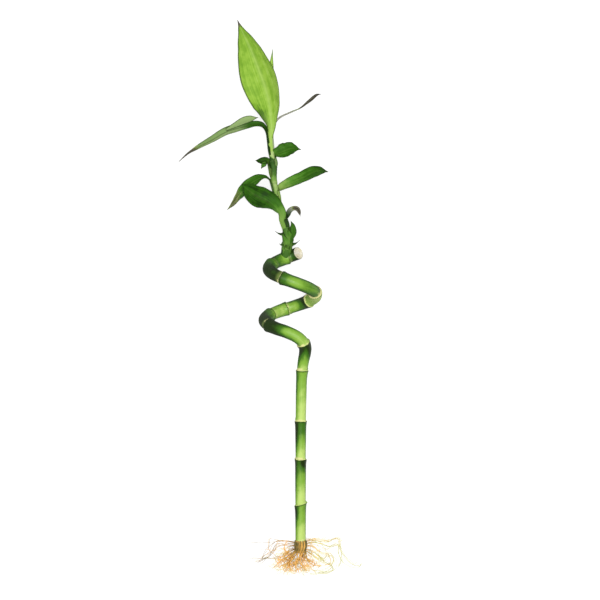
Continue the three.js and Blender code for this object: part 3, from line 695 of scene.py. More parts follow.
def make_stem_material(name, shades, ring, wax_colour, gloss, specular):
    material, shader, mix = new_material(name, specular)
    grown = mix.layer("grown", "Vector")
    grain = mix.group(fibres, {"Grown": grown, "Fineness": 1.6, "Length": 22.0})
    dots = mix.group(flecks, {"Grown": grown, "Spacing": 2.4, "Share": 0.16})["Mask"]

    uneven_tone = mix.math("ADD", mix.nudge(grain["Streaks"], 0.09), mix.nudge(grain["Patches"], 0.1))
    tone = mix.math("ADD", mix.layer("tone"), uneven_tone)
    colour = mix.group(greens, {"Tone": tone, **dict(zip(GREENS, shades))})["Colour"]
    waxed = mix.math("MULTIPLY", mix.layer("wax"), grain["Patches"])
    colour = mix.blend(waxed, colour, wax_colour)

    uneven = mix.nudge(grain["Streaks"], 0.5)
    above = mix.math("ADD", mix.layer("to_ring"), uneven)
    below = mix.math("ADD", mix.layer("past_ring"), uneven)
    colour = mix.blend(mix.ramp(above, 1.2, 4.5, ring["blush"], 0.0), colour, shades[3])
    frayed_band = mix.math("MULTIPLY", mix.layer("band"), mix.ramp(grain["Patches"], 0.2, 0.8, 0.35, 1.3))
    inside_band = mix.math("SUBTRACT", frayed_band, above)
    cream = mix.ramp(inside_band, -0.25, 0.35, 0.0, ring["strength"])
    colour = mix.blend(cream, colour, ring["cream"])
    colour = mix.blend(mix.ramp(below, 0.3, 2.0, ring["shade"], 0.0), colour, ring["dark"])
    colour = mix.blend(mix.math("MULTIPLY", dots, 0.4), colour, hue("5d5a22"))
    colour = mix.blend(mix.math("MULTIPLY", mix.layer("foot"), 0.8), colour, hue("8a6a2a"))

    pith = mix.blend(grain["Patches"], hue("fbf6e6"), hue("ecdfb6"))
    pores = mix.group(flecks, {"Grown": grown, "Spacing": 0.7, "Share": 0.6})["Mask"]
    pith = mix.blend(mix.math("MULTIPLY", pores, 0.35), pith, hue("a98c58"))
    colour = mix.blend(mix.layer("cut"), colour, pith)

    corky = mix.math("MAXIMUM", mix.layer("cut"), mix.math("MAXIMUM", cream, mix.layer("foot")))
    dull = mix.math("MAXIMUM", corky, mix.layer("matt"))
    base = mix.ramp(grain["Patches"], 0.0, 1.0, gloss, gloss + 0.1)
    rough = mix.math("ADD", base, mix.math("MULTIPLY", dull, MATT))
    mix.finish(shader, colour, rough, mix.math("SUBTRACT", grain["Streaks"], dots), 0.35, 0.00012)
    return material


CANE_SHADES = (hue("223809"), hue("43781b"), hue("8cbc42"), hue("cbe87c"))
cane_ring = {"cream": hue("f2eda6"), "dark": hue("26360d"), "strength": 0.82, "shade": 0.7, "blush": 0.25}
cane_material = make_stem_material("waxy_cane", CANE_SHADES, cane_ring, hue("a3ae86"), 0.3, 0.16)
plant_piece("cane_skin", make_cane_skin(), cane_material, "cane", "cane")

# %% [markdown]
# ## The shoot: its line and its stem
#
# The shoot broke from the bud of the top node. Its stem is soft and green, with faint rings close together,
# and it is mostly hidden by the feet of its leaves. Its line and thickness are one short table.

# %% Make the shoot's stem
# Place of the middle, and radius.
SHOOT = np.array([
    (19.4, 38.5, 11.5, 4.7), (21.3, 53, 16, 4.2), (20.6, 61, 17.6, 3.7), (18, 70, 19, 3.1),
    (15, 80, 20.5, 2.9), (12.4, 90, 21.5, 2.5), (9.9, 101, 22, 2.7), (8.6, 110, 22, 2.8),
    (8.3, 116, 22, 3.3), (8.2, 121.4, 22, 3.8), (8, 123.4, 22, 2.8), (7, 131, 22, 2.4),
    (6.1, 139, 22.2, 2.2), (5.5, 146, 22.5, 1.8), (5.1, 152, 22.8, 1.3),
])
SHOOT_RINGS = (46, 52, 58, 64, 74, 87, 104.5, 113, 124, 136)  # along Y
# Place along Y, and tone.
SHOOT_TONES = (
    (38, 0.22), (57, 0.28), (66, 0.5), (76, 0.72), (88, 0.72), (96, 0.78), (104, 0.84), (110, 0.6),
    (114, 0.22), (126.2, 0.1), (127.4, 0.95), (152, 0.95),
)
COLLAR_SLOPE = 2.4  # how much further up the dark collar's edge reaches at the left than at the middle
shoot_route = Route(SHOOT[:, :3], 300)


def shoot_radius(y):
    return np.interp(y, SHOOT[:, 1], SHOOT[:, 3])


def make_shoot_skin(sides=32):
    along = np.arange(0, shoot_route.length, 0.5)
    point, _, up, side = shoot_route.frames(along)
    angle, out = around(up, side, sides)
    distance = along[:, None] * np.ones_like(angle)
    places = np.array([shoot_route.distance_at_y(y) for y in SHOOT_RINGS])
    wavy = distance + 0.25 * unevenness(angle, distance, 4, 7)
    gap = wavy[..., None] - places
    sloped = point[:, 1, None] + COLLAR_SLOPE * out[..., 0]
    radius = shoot_radius(sloped) * (1 + 0.015 * unevenness(angle, distance, 4, 14))
    radius = radius + 0.16 * np.exp(-((gap / 0.5) ** 2)).sum(-1) + 0.02 * np.sin(15 * angle)
    above = np.where(gap > 0, gap, FAR).min(-1)
    below = np.where(gap <= 0, -gap, FAR).min(-1)
    # painted shade: the flanks of the shoot that turn away from the painted light get a lower tone
    tone = np.interp(sloped, *zip(*SHOOT_TONES)) - 0.25 * (1 - painted_lit_share(out))
    points, faces = tube(point[:, None] + out * radius[..., None])
    zero = np.zeros(angle.size)
    layers = {"grown": straightened(radius, angle, distance), "tone": tone.ravel()}
    layers |= {"past_ring": np.minimum(below, FAR).ravel(), "to_ring": np.minimum(above, FAR).ravel()}
    layers |= {"band": zero + 0.5, "matt": zero + 0.3, "wax": zero, "cut": zero, "foot": zero}
    return points, faces, layers


SHOOT_SHADES = (hue("2a5412"), hue("4c7c22"), hue("7aa546"), hue("bcd488"))
shoot_ring = {"cream": hue("cdd68e"), "dark": hue("33551a"), "strength": 0.35, "shade": 0.3, "blush": 0.0}
shoot_material = make_stem_material("green_shoot", SHOOT_SHADES, shoot_ring, hue("9db08a"), 0.55, 0.2)
plant_piece("shoot_skin", make_shoot_skin(), shoot_material, "shoot", "shoot_stem")

# %% [markdown]
# ## Leaves: one ribbon, many shapes
#
# A leaf of this plant is a strap: a sheath that clasps the stem, a narrow neck, a blade that widens and
# ends in a long point, with veins that all run lengthways. Each leaf is a ribbon along its midrib. The
# grower's table gives, at a few stations, the midrib's place, half the width, how far the two halves fold
# up, and the way that the upper face looks. The mesh adds what the plain solid leaves out: a blade that
# thins to its margins, a keel under the midrib and a groove over it, fine ribs, and a tip that draws out to
# a point.

# %% Leaf stations
CLEAR = 0.35  # how far a sheath stays off the stem
SHEATH_TURN = 1.25  # how far it reaches round the stem to each side, radians
BLADE = 0.7  # thickness of the plain solid, which the sheath's place allows for
ROOTED = 1.2  # how much deeper the start of a sheath lies than its end


def sheath_stations(side, start, end, sunk=0.0):
    """Where a leaf clasps the stem, between two places on Y. It grows out of the stem, so it starts inside.
    side: 0 is near, 90 right, 270 left."""
    angle = math.radians(side)
    stations = []
    for y, deeper in ((start, ROOTED), ((start + end) / 2, ROOTED / 4), (end, 0)):
        point, ahead, _, _ = (v[0] for v in shoot_route.frames(np.array([shoot_route.distance_at_y(y)])))
        out = np.array([math.sin(angle), 0, math.cos(angle)])
        out = unit(out - ahead * (out @ ahead))
        radius = float(shoot_radius(y)) + max(CLEAR + BLADE / 2 - sunk - deeper, -0.5)
        stations.append((*(point + out * radius), radius * SHEATH_TURN, SHEATH_TURN, -out))
    return stations


# %% The ribbon
RIB_SPACING, RIB_HEIGHT = 1.1, 0.05  # mm between the fine ribs where a blade is widest, and their height
GROOVE, KEEL = (0.14, 0.07), (0.34, 0.08)  # how far in or out in mm, and how wide against half the blade
SLIM = 2.5  # mm of half the width, under which the relief gets flatter
TIP_STRETCH = 0.9  # the last part of a leaf in which it draws out to a point, as a share of its last span


def leaf_skin(
    stations,
    wave=0.0,
    half_across=14,
    rows=10,
    tones=(0.5, 0.4, 0.3),
    neck=0.6,
    drying_at=(1.2, 1.4, 0.0),
    pale=(0, 0.3),
    pale_left=0.0,
    pale_from=-1.0,
    rim=0.75,
    rim_wide=1.0,
    painted_fold_shade=0.0,
    painted_crease_shade=0.0,
    bleached=(0.0, 0.1, 0.0),
    thick=0.42,
):
    """tones: at the foot, in the middle and at the tip. neck: how pale the foot is. drying_at: the shares of
    the blade between which it dries, and how dry it gets. pale: of the upper and the under face, past the
    share of the blade in pale_from. pale_left: of the half on the negative side. rim: how dark the margin is.
    crease: how much painted shade lies along the fold in the middle. shoulder: how much painted shade of the
    fold lowers the tone of the half on the positive side near the foot. bleached: where the blade has gone
    grey, over which share of it, and how much."""
    spans = len(stations) - 1
    in_sheath = np.linspace(0, 2, 2 * rows, endpoint=False)
    where = np.concatenate([in_sheath, np.linspace(2, spans, (spans - 2) * rows + 1)])
    at, slope = spline([s[:3] for s in stations], where)
    half, fold = spline([s[3:5] for s in stations], where, centripetal=False)[0].T
    face = spline([s[5] for s in stations], where, centripetal=False)[0]
    grown_share = np.clip((where - 3) / max(spans - 3, 1), 0, 1)
    to_tip = np.clip((spans - where) / TIP_STRETCH, 0, 1)
    half = np.maximum(half, 0.35) * (0.25 + 0.75 * np.sqrt(to_tip))
    ahead = unit(slope)
    up = unit(face - ahead * dot(face, ahead))
    wide = np.cross(ahead, up)

    t = np.linspace(-1, 1, 2 * half_across + 1)[None, :]
    angle, bend = fold[:, None] * t, (half / fold)[:, None]
    envelope = np.sin(math.pi * grown_share)[:, None]
    ripple = wave * envelope * np.sin(5 * math.pi * grown_share)[:, None] * t * abs(t)
    ripple = ripple + 0.3 * wave * envelope * np.sin(13 * math.pi * grown_share[:, None] + 2 * t) * t**2
    middle = at[:, None] + wide[:, None] * (bend * np.sin(angle))[..., None]
    middle = middle + up[:, None] * (bend * (1 - np.cos(angle)) + ripple)[..., None]
    out = up[:, None] * np.cos(angle)[..., None] - wide[:, None] * np.sin(angle)[..., None]

    slim = np.minimum(1, half / SLIM)[:, None]
    body = thick * (0.35 + 0.65 * (1 - abs(t) ** 1.6)) * (0.5 + 0.5 * slim)
    rib_count = max(2, round(half.max() / RIB_SPACING))
    ribs = RIB_HEIGHT * slim * np.cos(2 * math.pi * rib_count * t) * (1 - t**4)
    groove, keel = (depth * slim * np.exp(-((t / narrow) ** 2)) for depth, narrow in (GROOVE, KEEL))
    over = middle + out * (body / 2 + ribs - groove)[..., None]
    under = middle - out * (body / 2 - ribs + keel)[..., None]
    under[..., 2] = np.maximum(under[..., 2], 0.01)
    over[..., 2] = np.maximum(over[..., 2], 0.01 + 0.6 * body)
    points, faces = ribbon(np.concatenate([over, under[:, ::-1]], 1))

    steps = np.linalg.norm(np.diff(at, axis=0), axis=1)
    length = np.concatenate([[0], np.cumsum(steps)])
    both = np.concatenate([t, t[:, ::-1]], 1) * np.ones((len(where), 1))
    lower = np.concatenate([np.zeros_like(t), np.ones_like(t)], 1) * np.ones((len(where), 1))
    along = length[:, None] * np.ones_like(both)
    share = grown_share[:, None] * np.ones_like(both)
    near_foot = neck * (1 - smooth(where, 2.0, 2 + 0.32 * max(spans - 2, 1)))[:, None] * np.ones_like(both)
    faded = np.maximum(pale[0] + (pale[1] - pale[0]) * lower, pale_left * smooth(-both, -0.05, 0.05))
    faded = faded * smooth(share, pale_from, pale_from + 0.15)
    from_edge, from_fold = (1 - abs(both)) * half[:, None], abs(both) * half[:, None]
    edge_dark = rim * (1 - smooth(from_edge, 0.25 * rim_wide, 0.9 * rim_wide))
    # painted shade of the fold on one half near the foot of a leaf
    in_fold_shade = smooth(both, 0.0, 0.8) * np.exp(-(((share - 0.1) / 0.16) ** 2))
    layers = {
        "grown": np.stack([both * half.max(), 3.7 * lower, along], -1).reshape(-1, 3),
        "across": both.ravel(),
        "tone": (np.interp(share, (0, 0.45, 1), tones) - painted_fold_shade * in_fold_shade).ravel(),
        "dry": (drying_at[2] * smooth(share, *drying_at[:2])).ravel(),
        "neck": near_foot.ravel(),
        "pale_side": faded.ravel(),
        # the dark margin, and painted shade along the fold in the middle
        "rim": np.maximum(edge_dark, painted_crease_shade * (1 - smooth(from_fold, 0.2, 0.8))).ravel(),
        "bleached": (bleached[2] * np.exp(-(((share - bleached[0]) / bleached[1]) ** 2))).ravel(),
    }
    return points, faces, layers


# %% [markdown]
# ## Leaves: their material
#
# Seen close, a blade is finely striped lengthways, with a paler midrib and neck and a thin dark edge. Old
# leaves dry from the tip: first a dull olive, then grey brown, and in places the sun has bleached them. The
# young leaves at the top are a much brighter green, with a dark margin; painted shade darkens one half of
# the top leaf near its foot, where it folds, and the arching leaf has painted shade along its middle fold.
# One recipe with two sets of colours does both.

# %% The recipe for leaves
LEAF_SPECULAR = 0.04  # a leaf is duller than the cane


def make_leaf_material(name, shades, midrib, under, edge, rib_strength, stripes, blotches):
    material, shader, mix = new_material(name, LEAF_SPECULAR)
    grain = mix.group(fibres, {"Grown": mix.layer("grown", "Vector"), "Fineness": 0.75, "Length": 40.0})
    from_rib = mix.math("ABSOLUTE", mix.layer("across"))

    striped = mix.math("ADD", mix.nudge(grain["Streaks"], stripes), mix.nudge(grain["Patches"], blotches))
    tone = mix.math("ADD", mix.layer("tone"), striped)
    colour = mix.group(greens, {"Tone": tone, **dict(zip(GREENS, shades))})["Colour"]
    colour = mix.blend(mix.layer("pale_side"), colour, under)
    pale_neck = mix.math("MULTIPLY", mix.layer("neck"), mix.ramp(from_rib, 0.3, 1.0, 1.0, 0.5))
    colour = mix.blend(pale_neck, colour, midrib)
    rib = mix.math("ADD", mix.ramp(from_rib, 0.0, 0.05, 0.25, 0.0), mix.ramp(from_rib, 0.0, 0.2, 0.6, 0.0))
    colour = mix.blend(mix.math("MULTIPLY", rib, rib_strength), colour, midrib)
    grey = mix.blend(grain["Streaks"], hue("a5a294"), hue("dcdacb"))
    colour = mix.blend(mix.layer("bleached"), colour, grey)
    colour = mix.blend(mix.layer("rim"), colour, edge)

    grains = {"Streaks": grain["Streaks"], "Patches": grain["Patches"]}
    parched = mix.group(drying, {"Dry": mix.layer("dry"), **grains})
    ribbed = mix.ramp(grain["Streaks"], 0.35, 0.65)
    olive = mix.blend(ribbed, hue("4f5a2c"), hue("9aa864"))
    papery = mix.blend(ribbed, hue("36322d"), hue("7f7b66"))
    colour = mix.blend(parched["Mask"], mix.blend(parched["Edge"], colour, olive), papery)

    dull = mix.math("MAXIMUM", parched["Mask"], mix.math("MULTIPLY", mix.layer("pale_side"), 0.5))
    base = mix.ramp(grain["Patches"], 0.0, 1.0, 0.48, 0.58)
    rough = mix.math("ADD", base, mix.math("MULTIPLY", dull, 0.3))
    mix.finish(shader, colour, rough, grain["Streaks"], 0.4, 0.0001)
    return material


OLD_SHADES = (hue("1f420c"), hue("386b16"), hue("5a9230"), hue("93b458"))
YOUNG_SHADES = (hue("55802a"), hue("85b436"), hue("9fca48"), hue("b6da70"))
# The colours of midrib, under face and edge, and the strengths of midrib, stripes and blotches.
OLD_TRIM = (hue("8fb356"), hue("a3bd7c"), hue("26380f"), 0.12, 0.24, 0.2)
YOUNG_TRIM = (hue("bfe078"), hue("93bd48"), hue("3c5a1a"), 0.6, 0.42, 0.3)
old_leaf = make_leaf_material("old_leaf", OLD_SHADES, *OLD_TRIM)
young_leaf = make_leaf_material("young_leaf", YOUNG_SHADES, *YOUNG_TRIM)

# %% [markdown]
# ## Leaves: the ten of this plant
#
# From the lowest to the top one there are eight old leaves and two young ones at the tip. Of the old ones
# the small lowest one has dried, two are torn, a long one arches out to the left, and one is seen edge-on at
# the right. Each entry gives the foot of the leaf on the stem, its own look, and its stations: x, y, z, half
# the width, fold, facing. A torn leaf has a flap with stations of its own.

# %% The table of leaves
LEAVES = {
    "leaf_small_right": dict(
        sheath=(80, 62, 72),
        look=dict(
            wave=0, tones=(0.02, 0.12, 0.2), neck=0, drying_at=(0.2, 0.5, 0.85), pale=(0, 0),
            bleached=(0.35, 0.2, 0.6),
        ),
        blade=[
            (21.9, 75.6, 22.6, 3.2, 1, (-0.5, 0.2, 0.85)), (23.8, 79.6, 22.6, 2.8, 0.8, (-0.3, 0.3, 0.9)),
            (26.8, 81.4, 21.6, 2.6, 0.6, (0, 0.5, 0.85)), (30, 80.6, 19.4, 3, 0.5, (0.4, 0.4, 0.8)),
            (32, 77.6, 17, 2, 0.4, (0.6, 0.3, 0.7)), (32.8, 74.2, 15, 0.5, 0.3, (0.8, 0.3, 0.3)),
        ],
    ),
    "leaf_lower_left": dict(
        sheath=(300, 62, 72),
        look=dict(wave=0.6, tones=(0.7, 0.14, 0.24), neck=0.75, pale=(0, 0)),
        blade=[
            (14.6, 76.4, 23.4, 6, 1.2, (0.6, 0.3, -0.7)), (11.4, 80.8, 25, 7.8, 1, (0.45, 0.4, -0.8)),
            (6.9, 85, 26.8, 9.2, 0.9, (0.3, 0.35, -0.9)), (1.4, 88.6, 28, 10.4, 0.8, (0.1, 0.25, -1)),
            (-4.2, 91.2, 28.4, 10.8, 0.7, (0, 0.2, -1)), (-9.8, 94.6, 27.4, 9.4, 0.7, (0, 0.1, -1)),
            (-15.4, 99, 25, 6.2, 0.5, (0.2, 0, -1)), (-19.8, 103.4, 22, 0.5, 0.3, (0.3, 0, -1)),
        ],
    ),
    "leaf_middle_left": dict(
        sheath=(255, 88, 103),
        look=dict(wave=0.5, tones=(0.15, 0.46, 0.5), neck=0, drying_at=(0.5, 0.85, 0.62), pale=(0, 0.2)),
        blade=[
            (4.6, 107.4, 21, 2.2, 1, (0.5, 0.85, 0.2)), (1.4, 109.2, 21, 3, 0.8, (0.2, 0.9, 0.4)),
            (-4.2, 108.4, 20, 5, 0.5, (0.1, 0.6, 0.8)), (-10.4, 105, 18.2, 5.8, 0.5, (-0.1, 0.45, 0.85)),
            (-16, 100.4, 15.4, 5.8, 0.5, (-0.3, 0.35, 0.85)),
            (-20.6, 95.4, 12, 5.4, 0.6, (-0.4, 0.3, 0.85)), (-24.2, 90.6, 8.2, 4.2, 0.7, (-0.5, 0.3, 0.8)),
            (-28.2, 86, 4.4, 2.4, 0.5, (-0.5, 0.3, 0.8)), (-33.8, 80.8, 0.8, 0.5, 0.3, (-0.3, 0.3, 0.9)),
        ],
    ),
    "leaf_middle_right": dict(
        sheath=(90, 86, 97),
        look=dict(wave=0.5, tones=(1.0, 0.5, 0.05), neck=0.9, drying_at=(0.8, 1.1, 0.5)),
        blade=[
            (16.2, 100, 23, 5, 1.1, (-0.5, 0.4, 0.8)), (20.8, 102.6, 23.8, 5.6, 0.8, (-0.3, 0.45, 0.85)),
            (27.4, 105.8, 23.4, 6.2, 0.6, (-0.3, 0.5, 0.8)),
            (35.6, 109.6, 21.4, 6.8, 0.5, (-0.2, 0.5, 0.85)),
            (44.2, 114, 17.4, 6.4, 0.5, (-0.1, 0.5, 0.85)), (51.4, 116.2, 12.4, 4.2, 0.4, (0.2, 0.5, 0.8)),
            (58.5, 115, 5.8, 0.5, 0.3, (0.5, 0.5, 0.7)),
        ],
    ),
    "leaf_upper_left": dict(
        sheath=(272, 108, 118),
        look=dict(wave=0, tones=(0.1, 0.02, -0.05), neck=0.5, pale=(0, 0)),
        blade=[
            (2.4, 123.4, 25.2, 4.4, 1, (0.4, 0.6, 0.7)), (-1.4, 124.2, 25.8, 3.6, 0.6, (0, 0.35, 0.95)),
            (-4.8, 124.4, 25, 2, 0.5, (-0.2, 0.2, 0.95)), (-7.8, 124.7, 23.6, 0.5, 0.3, (-0.3, 0.2, 0.9)),
        ],
        flap=[
            (1.8, 122.8, 27.2, 1.6, 0.4, (0, 0, 1)), (-0.2, 121, 27.2, 2.4, 0.4, (0, -0.1, 1)),
            (-2.6, 117.2, 25.6, 0.5, 0.3, (-0.1, -0.2, 0.95)),
        ],
        flap_pale=(0, 0),
    ),
    "leaf_upper_right": dict(
        sheath=(95, 118, 126),
        look=dict(wave=0.8, tones=(0.42, 0.36, 0.2), neck=0.15, pale=(0, 0.5)),
        blade=[
            (10.6, 130.2, 24.4, 5, 1.1, (-0.5, 0.35, 0.8)), (15, 131.8, 25.4, 7, 0.8, (-0.3, 0.3, 0.9)),
            (20, 133.8, 25.6, 7.4, 0.6, (-0.2, 0.3, 0.9)), (23.8, 135.4, 24.8, 6.4, 0.5, (-0.1, 0.3, 0.95)),
            (27.8, 135.8, 23, 3.6, 0.4, (0, 0.3, 0.95)), (33.6, 134.6, 19.6, 0.5, 0.3, (0.3, 0.4, 0.85)),
        ],
    ),
    "leaf_arching_left": dict(
        sheath=(270, 127, 141),
        look=dict(
            wave=0.3, tones=(0.02, 0.5, 0.5), neck=0, drying_at=(0.72, 0.86, 1.0), pale=(0.6, 0.6),
            pale_left=0.95, pale_from=0.3, painted_crease_shade=0.5,
        ),
        blade=[
            (1.6, 150.4, 24, 3.4, 1.2, (0.85, 0.3, 0.3)), (-1.8, 155.6, 25.8, 3.6, 1.1, (0.4, 0.6, 0.7)),
            (-7.4, 157, 26.8, 3.6, 0.9, (0.1, 0.5, 0.85)), (-15, 155.4, 27, 3.8, 0.9, (-0.1, 0.4, 0.9)),
            (-24, 153.2, 26.2, 4.6, 1, (-0.2, 0.35, 0.9)), (-33.5, 150.4, 24, 4.8, 1.1, (-0.25, 0.3, 0.92)),
            (-46.5, 143.4, 19.2, 4.2, 1.1, (-0.3, 0.3, 0.9)), (-60, 136.7, 12, 2.6, 1, (-0.4, 0.3, 0.85)),
            (-69.6, 131.2, 5.6, 1.2, 0.6, (-0.4, 0.5, 0.7)),
            (-77.8, 124.4, 0.6, 0.5, 0.3, (-0.2, 0.3, 0.9)),
        ],
        flap=[
            (-34, 152.2, 26.2, 1.4, 0.4, (-0.3, 0.3, 0.9)), (-26.4, 156, 28, 2.6, 0.4, (-0.3, 0.3, 0.9)),
            (-18, 160, 29.4, 3.8, 0.5, (-0.2, 0.4, 0.95)), (-11.4, 162, 29.6, 3, 0.5, (0, 0.4, 0.95)),
            (-5.2, 163.2, 28.2, 0.5, 0.3, (0.2, 0.4, 0.95)),
        ],
        flap_pale=(0.85, 0.85),
    ),
    "leaf_edge_right": dict(
        sheath=(110, 130, 142),
        look=dict(
            wave=0, tones=(1.0, 0.9, 0.1), neck=0.3, drying_at=(0.48, 0.62, 1.0), pale=(1, 1), rim=0,
            bleached=(0.3, 0.25, 1.0),
        ),
        blade=[
            (8.2, 150, 20.2, 2.4, 1, (-0.95, 0.3, 0.2)), (10, 158, 18.6, 2.4, 0.8, (-0.8, 0.6, 0.05)),
            (14.4, 163.4, 16.4, 2.6, 0.6, (-0.45, 0.9, 0.25)),
            (25.7, 169.2, 12.6, 2.4, 0.5, (-0.45, 0.9, 0.3)), (33, 172.8, 9.6, 2.6, 0.5, (-0.5, 0.85, 0.1)),
            (41.5, 179, 6.2, 3.2, 0.5, (-0.55, 0.7, 0.5)), (48, 185, 3, 2, 0.4, (-0.4, 0.7, 0.6)),
            (52.2, 186, 0.6, 0.5, 0.3, (-0.2, 0.8, 0.5)),
        ],
    ),
    "leaf_spear": dict(
        sheath=(180, 140, 148),
        look=dict(wave=0, tones=(0.7, 0.75, 0.8)),
        blade=[
            (5.2, 158, 19.4, 2.8, 1.2, (0, 0.1, 1)), (5, 172, 17.6, 3.4, 1.1, (0.1, 0.1, 1)),
            (5, 190, 17, 3.4, 1, (0.1, 0.1, 1)), (6.2, 208, 17.4, 2.6, 0.9, (0.1, 0, 1)),
            (7.8, 225.4, 18.6, 0.5, 0.6, (0.1, 0, 1)),
        ],
    ),
    "leaf_top": dict(
        sheath=(0, 131, 145),
        look=dict(
            wave=0.7, tones=(0.62, 0.55, 0.4), neck=0.5, drying_at=(0.87, 0.97, 1.0), pale=(0, 0), rim=0.9,
            rim_wide=1.9, painted_fold_shade=0.75, half_across=22, rows=14,
        ),
        blade=[
            (6.8, 155, 26.6, 5.2, 1.2, (-0.1, 0, -1)), (6.1, 164.7, 28.4, 9.8, 1, (-0.3, 0, -1)),
            (5, 173.7, 30, 15, 0.85, (-0.45, 0, -1)), (0.6, 190.8, 32, 19.4, 0.7, (-0.55, 0, -1)),
            (-5.3, 207, 32.4, 18, 0.7, (-0.5, 0, -1)), (-11.9, 224, 30.4, 12.8, 0.7, (-0.4, 0, -1)),
            (-16.2, 233.4, 28.4, 8.4, 0.7, (-0.3, 0.05, -1)),
            (-20.4, 242.4, 25.8, 3.2, 0.6, (-0.2, 0.1, -1)), (-24, 251.6, 22.6, 0.5, 0.3, (-0.2, 0.2, -1)),
        ],
    ),
}
YOUNG = ("leaf_spear", "leaf_top")
print(len(LEAVES), "leaves,", len(YOUNG), "of them young")


# %% Grow the leaves
def blade_stations(rows):
    return [(*row[:5], np.array(row[5], float)) for row in rows]


flap_look = dict(rows=8, tones=(0.5, 0.6, 0.3), neck=0, rim=0.9)
for name, leaf in LEAVES.items():
    skins = [leaf_skin(sheath_stations(*leaf["sheath"]) + blade_stations(leaf["blade"]), **leaf["look"])]
    if "flap" in leaf:
        skins.append(leaf_skin(blade_stations(leaf["flap"]), **flap_look, pale=leaf["flap_pale"]))
    material, slot = (young_leaf, "young_leaf") if name in YOUNG else (old_leaf, "leaf")
    plant_piece(name.replace("leaf_", "blade_"), joined(skins), material, slot, name)

# %% [markdown]
# ## Scale leaves
#
# Before its first real leaves a shoot makes short pointed scales, which dry to thorns. They are small
# leaves to the eye and to the mesh, so the ribbon makes them as well. One wider scale has let go of the
# stem and bulges.

# %% Grow the scale leaves
SUNK = 0.55  # how much deeper than a leaf a scale sits in the stem
# Side, start and end of the foot, tip, and half the width.
SCALES = [
    (265, 51, 57, (9.5, 61.8, 17), 2.8),
    (262, 42, 47, (13.9, 50.2, 14.4), 2.2),
    (95, 43, 48, (32.4, 53.5, 14), 2.6),
    (20, 46, 56, (22, 64.4, 23), 3.2),
    (175, 48, 57, (18.6, 63.4, 11), 3),
    (325, 41, 51, (16.6, 60.5, 21.6), 4.4),
    (50, 42, 50, (25.6, 58.5, 20.4), 4),
]
LOOSE_SCALE = [
    (26, 55, 19, 4, 1, (-0.7, 0.1, -0.7)),
    (27.4, 60.4, 19.8, 4.4, 0.9, (-0.6, -0.1, -0.8)),
    (26.4, 65.8, 20.4, 3.2, 0.8, (-0.5, -0.3, -0.8)),
    (24.2, 70.4, 20.8, 0.5, 0.4, (-0.5, -0.3, -0.8)),
]


def scale_stations(side, start, end, tip, half):
    foot = sheath_stations(side, start, end, sunk=SUNK)
    neck, tip = np.array(foot[-1][:3]), np.array(tip, float)
    middle = neck + 0.55 * (tip - neck) + (0, -0.5, 0)
    flat = (tip - neck) * (1, 0, 1)
    facing = -flat / np.linalg.norm(flat) + (0, 0.9, 0)
    return [*foot, (*middle, half * 0.6, 0.9, facing), (*tip, 0.5, 0.4, facing)]


scale_look = dict(half_across=8, rows=8, neck=0.25, pale=(0, 0), rim=0.9, thick=0.6)
scales = []
for i, scale in enumerate(SCALES):
    tones = (0.55, 0.4, 0.05) if i % 2 else (0.25, 0.2, 0.0)
    scales.append(leaf_skin(scale_stations(*scale), tones=tones, **scale_look))
loose = sheath_stations(70, 45, 51, sunk=SUNK) + blade_stations(LOOSE_SCALE)
scales.append(leaf_skin(loose, half_across=8, rows=8, tones=(0.4, 0.36, 0.2), neck=0, pale=(0, 0)))
plant_piece("scale_leaves", joined(scales), old_leaf, "leaf", "shoot_stem")

# %% [markdown]
# ## Roots: how they grow
#
# Roots break out of the lowest ring in a collar of stout brown stubs. They fall to the floor and spread: a
# dense orange tangle close to the foot, and pale hair-thin ones far out to both sides. Drawing hundreds by
# hand is out of the question, and particle hair would need a simulation to lie on the floor. So each root
# is a walk: it keeps its heading but for a smooth random turn, and falls until it lies. At the right and
# the upper edge of their patch walks are turned back, and at the left and the lower edge they run out. Only
# the few long roots that can be told apart follow a given course. The draw is seeded, so the same tangle
# grows every time.

# %% Let roots walk
foot_point, foot_ahead, foot_up, foot_side = (v[0] for v in cane_route.frames(np.array([cane_route.length])))
root_low, root_high = (np.array(corner) / MM + OUTLINE_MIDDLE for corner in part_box("roots"))
EDGE_REACH, EDGE_PUSH = 4.0, 1.2  # how near the right or the upper edge a root turns back, and how hard
EARLY_END = 6.0  # how far inside the left or the lower edge a root may run out
TURN_KEPT, HOME_PULL = 0.75, 0.06  # how much of its turn a root keeps, and how hard its first heading pulls
patch_low, patch_high = root_low[:2] + (-8, -0.5), root_high[:2] + (8, 1.5)
print("the roots' patch, mm:", np.round(patch_low), np.round(patch_high))
draw = random.Random(21)


def root_walk(start, heading, length, curl, lie, drop, steps=26):
    """Points of a root from start. heading in degrees, curl in degrees for each step, lie: the height that it
    rests at, drop: how steeply it falls."""
    place, turn = np.array(start, float), 0.0
    walked = [place.copy()]
    stride = length / steps
    home, margin = heading, EARLY_END * draw.random() ** 1.5
    for k in range(steps):
        turn = TURN_KEPT * turn + draw.gauss(0, curl)
        heading += turn - HOME_PULL * (heading - home)
        way = np.array([math.cos(math.radians(heading)), math.sin(math.radians(heading))])
        push = -smooth(place[:2] - patch_high, -EDGE_REACH, 0)
        way = unit(way + EDGE_PUSH * push)
        fall = min(drop * stride, max(0.0, place[2] - lie))
        run = math.sqrt(max(stride**2 - fall**2, (0.25 * stride) ** 2))
        place = place + (*(run * way), -fall)
        walked.append(place.copy())
        if k > 3 and (place[:2] < patch_low + margin).any():
            break
    return walked


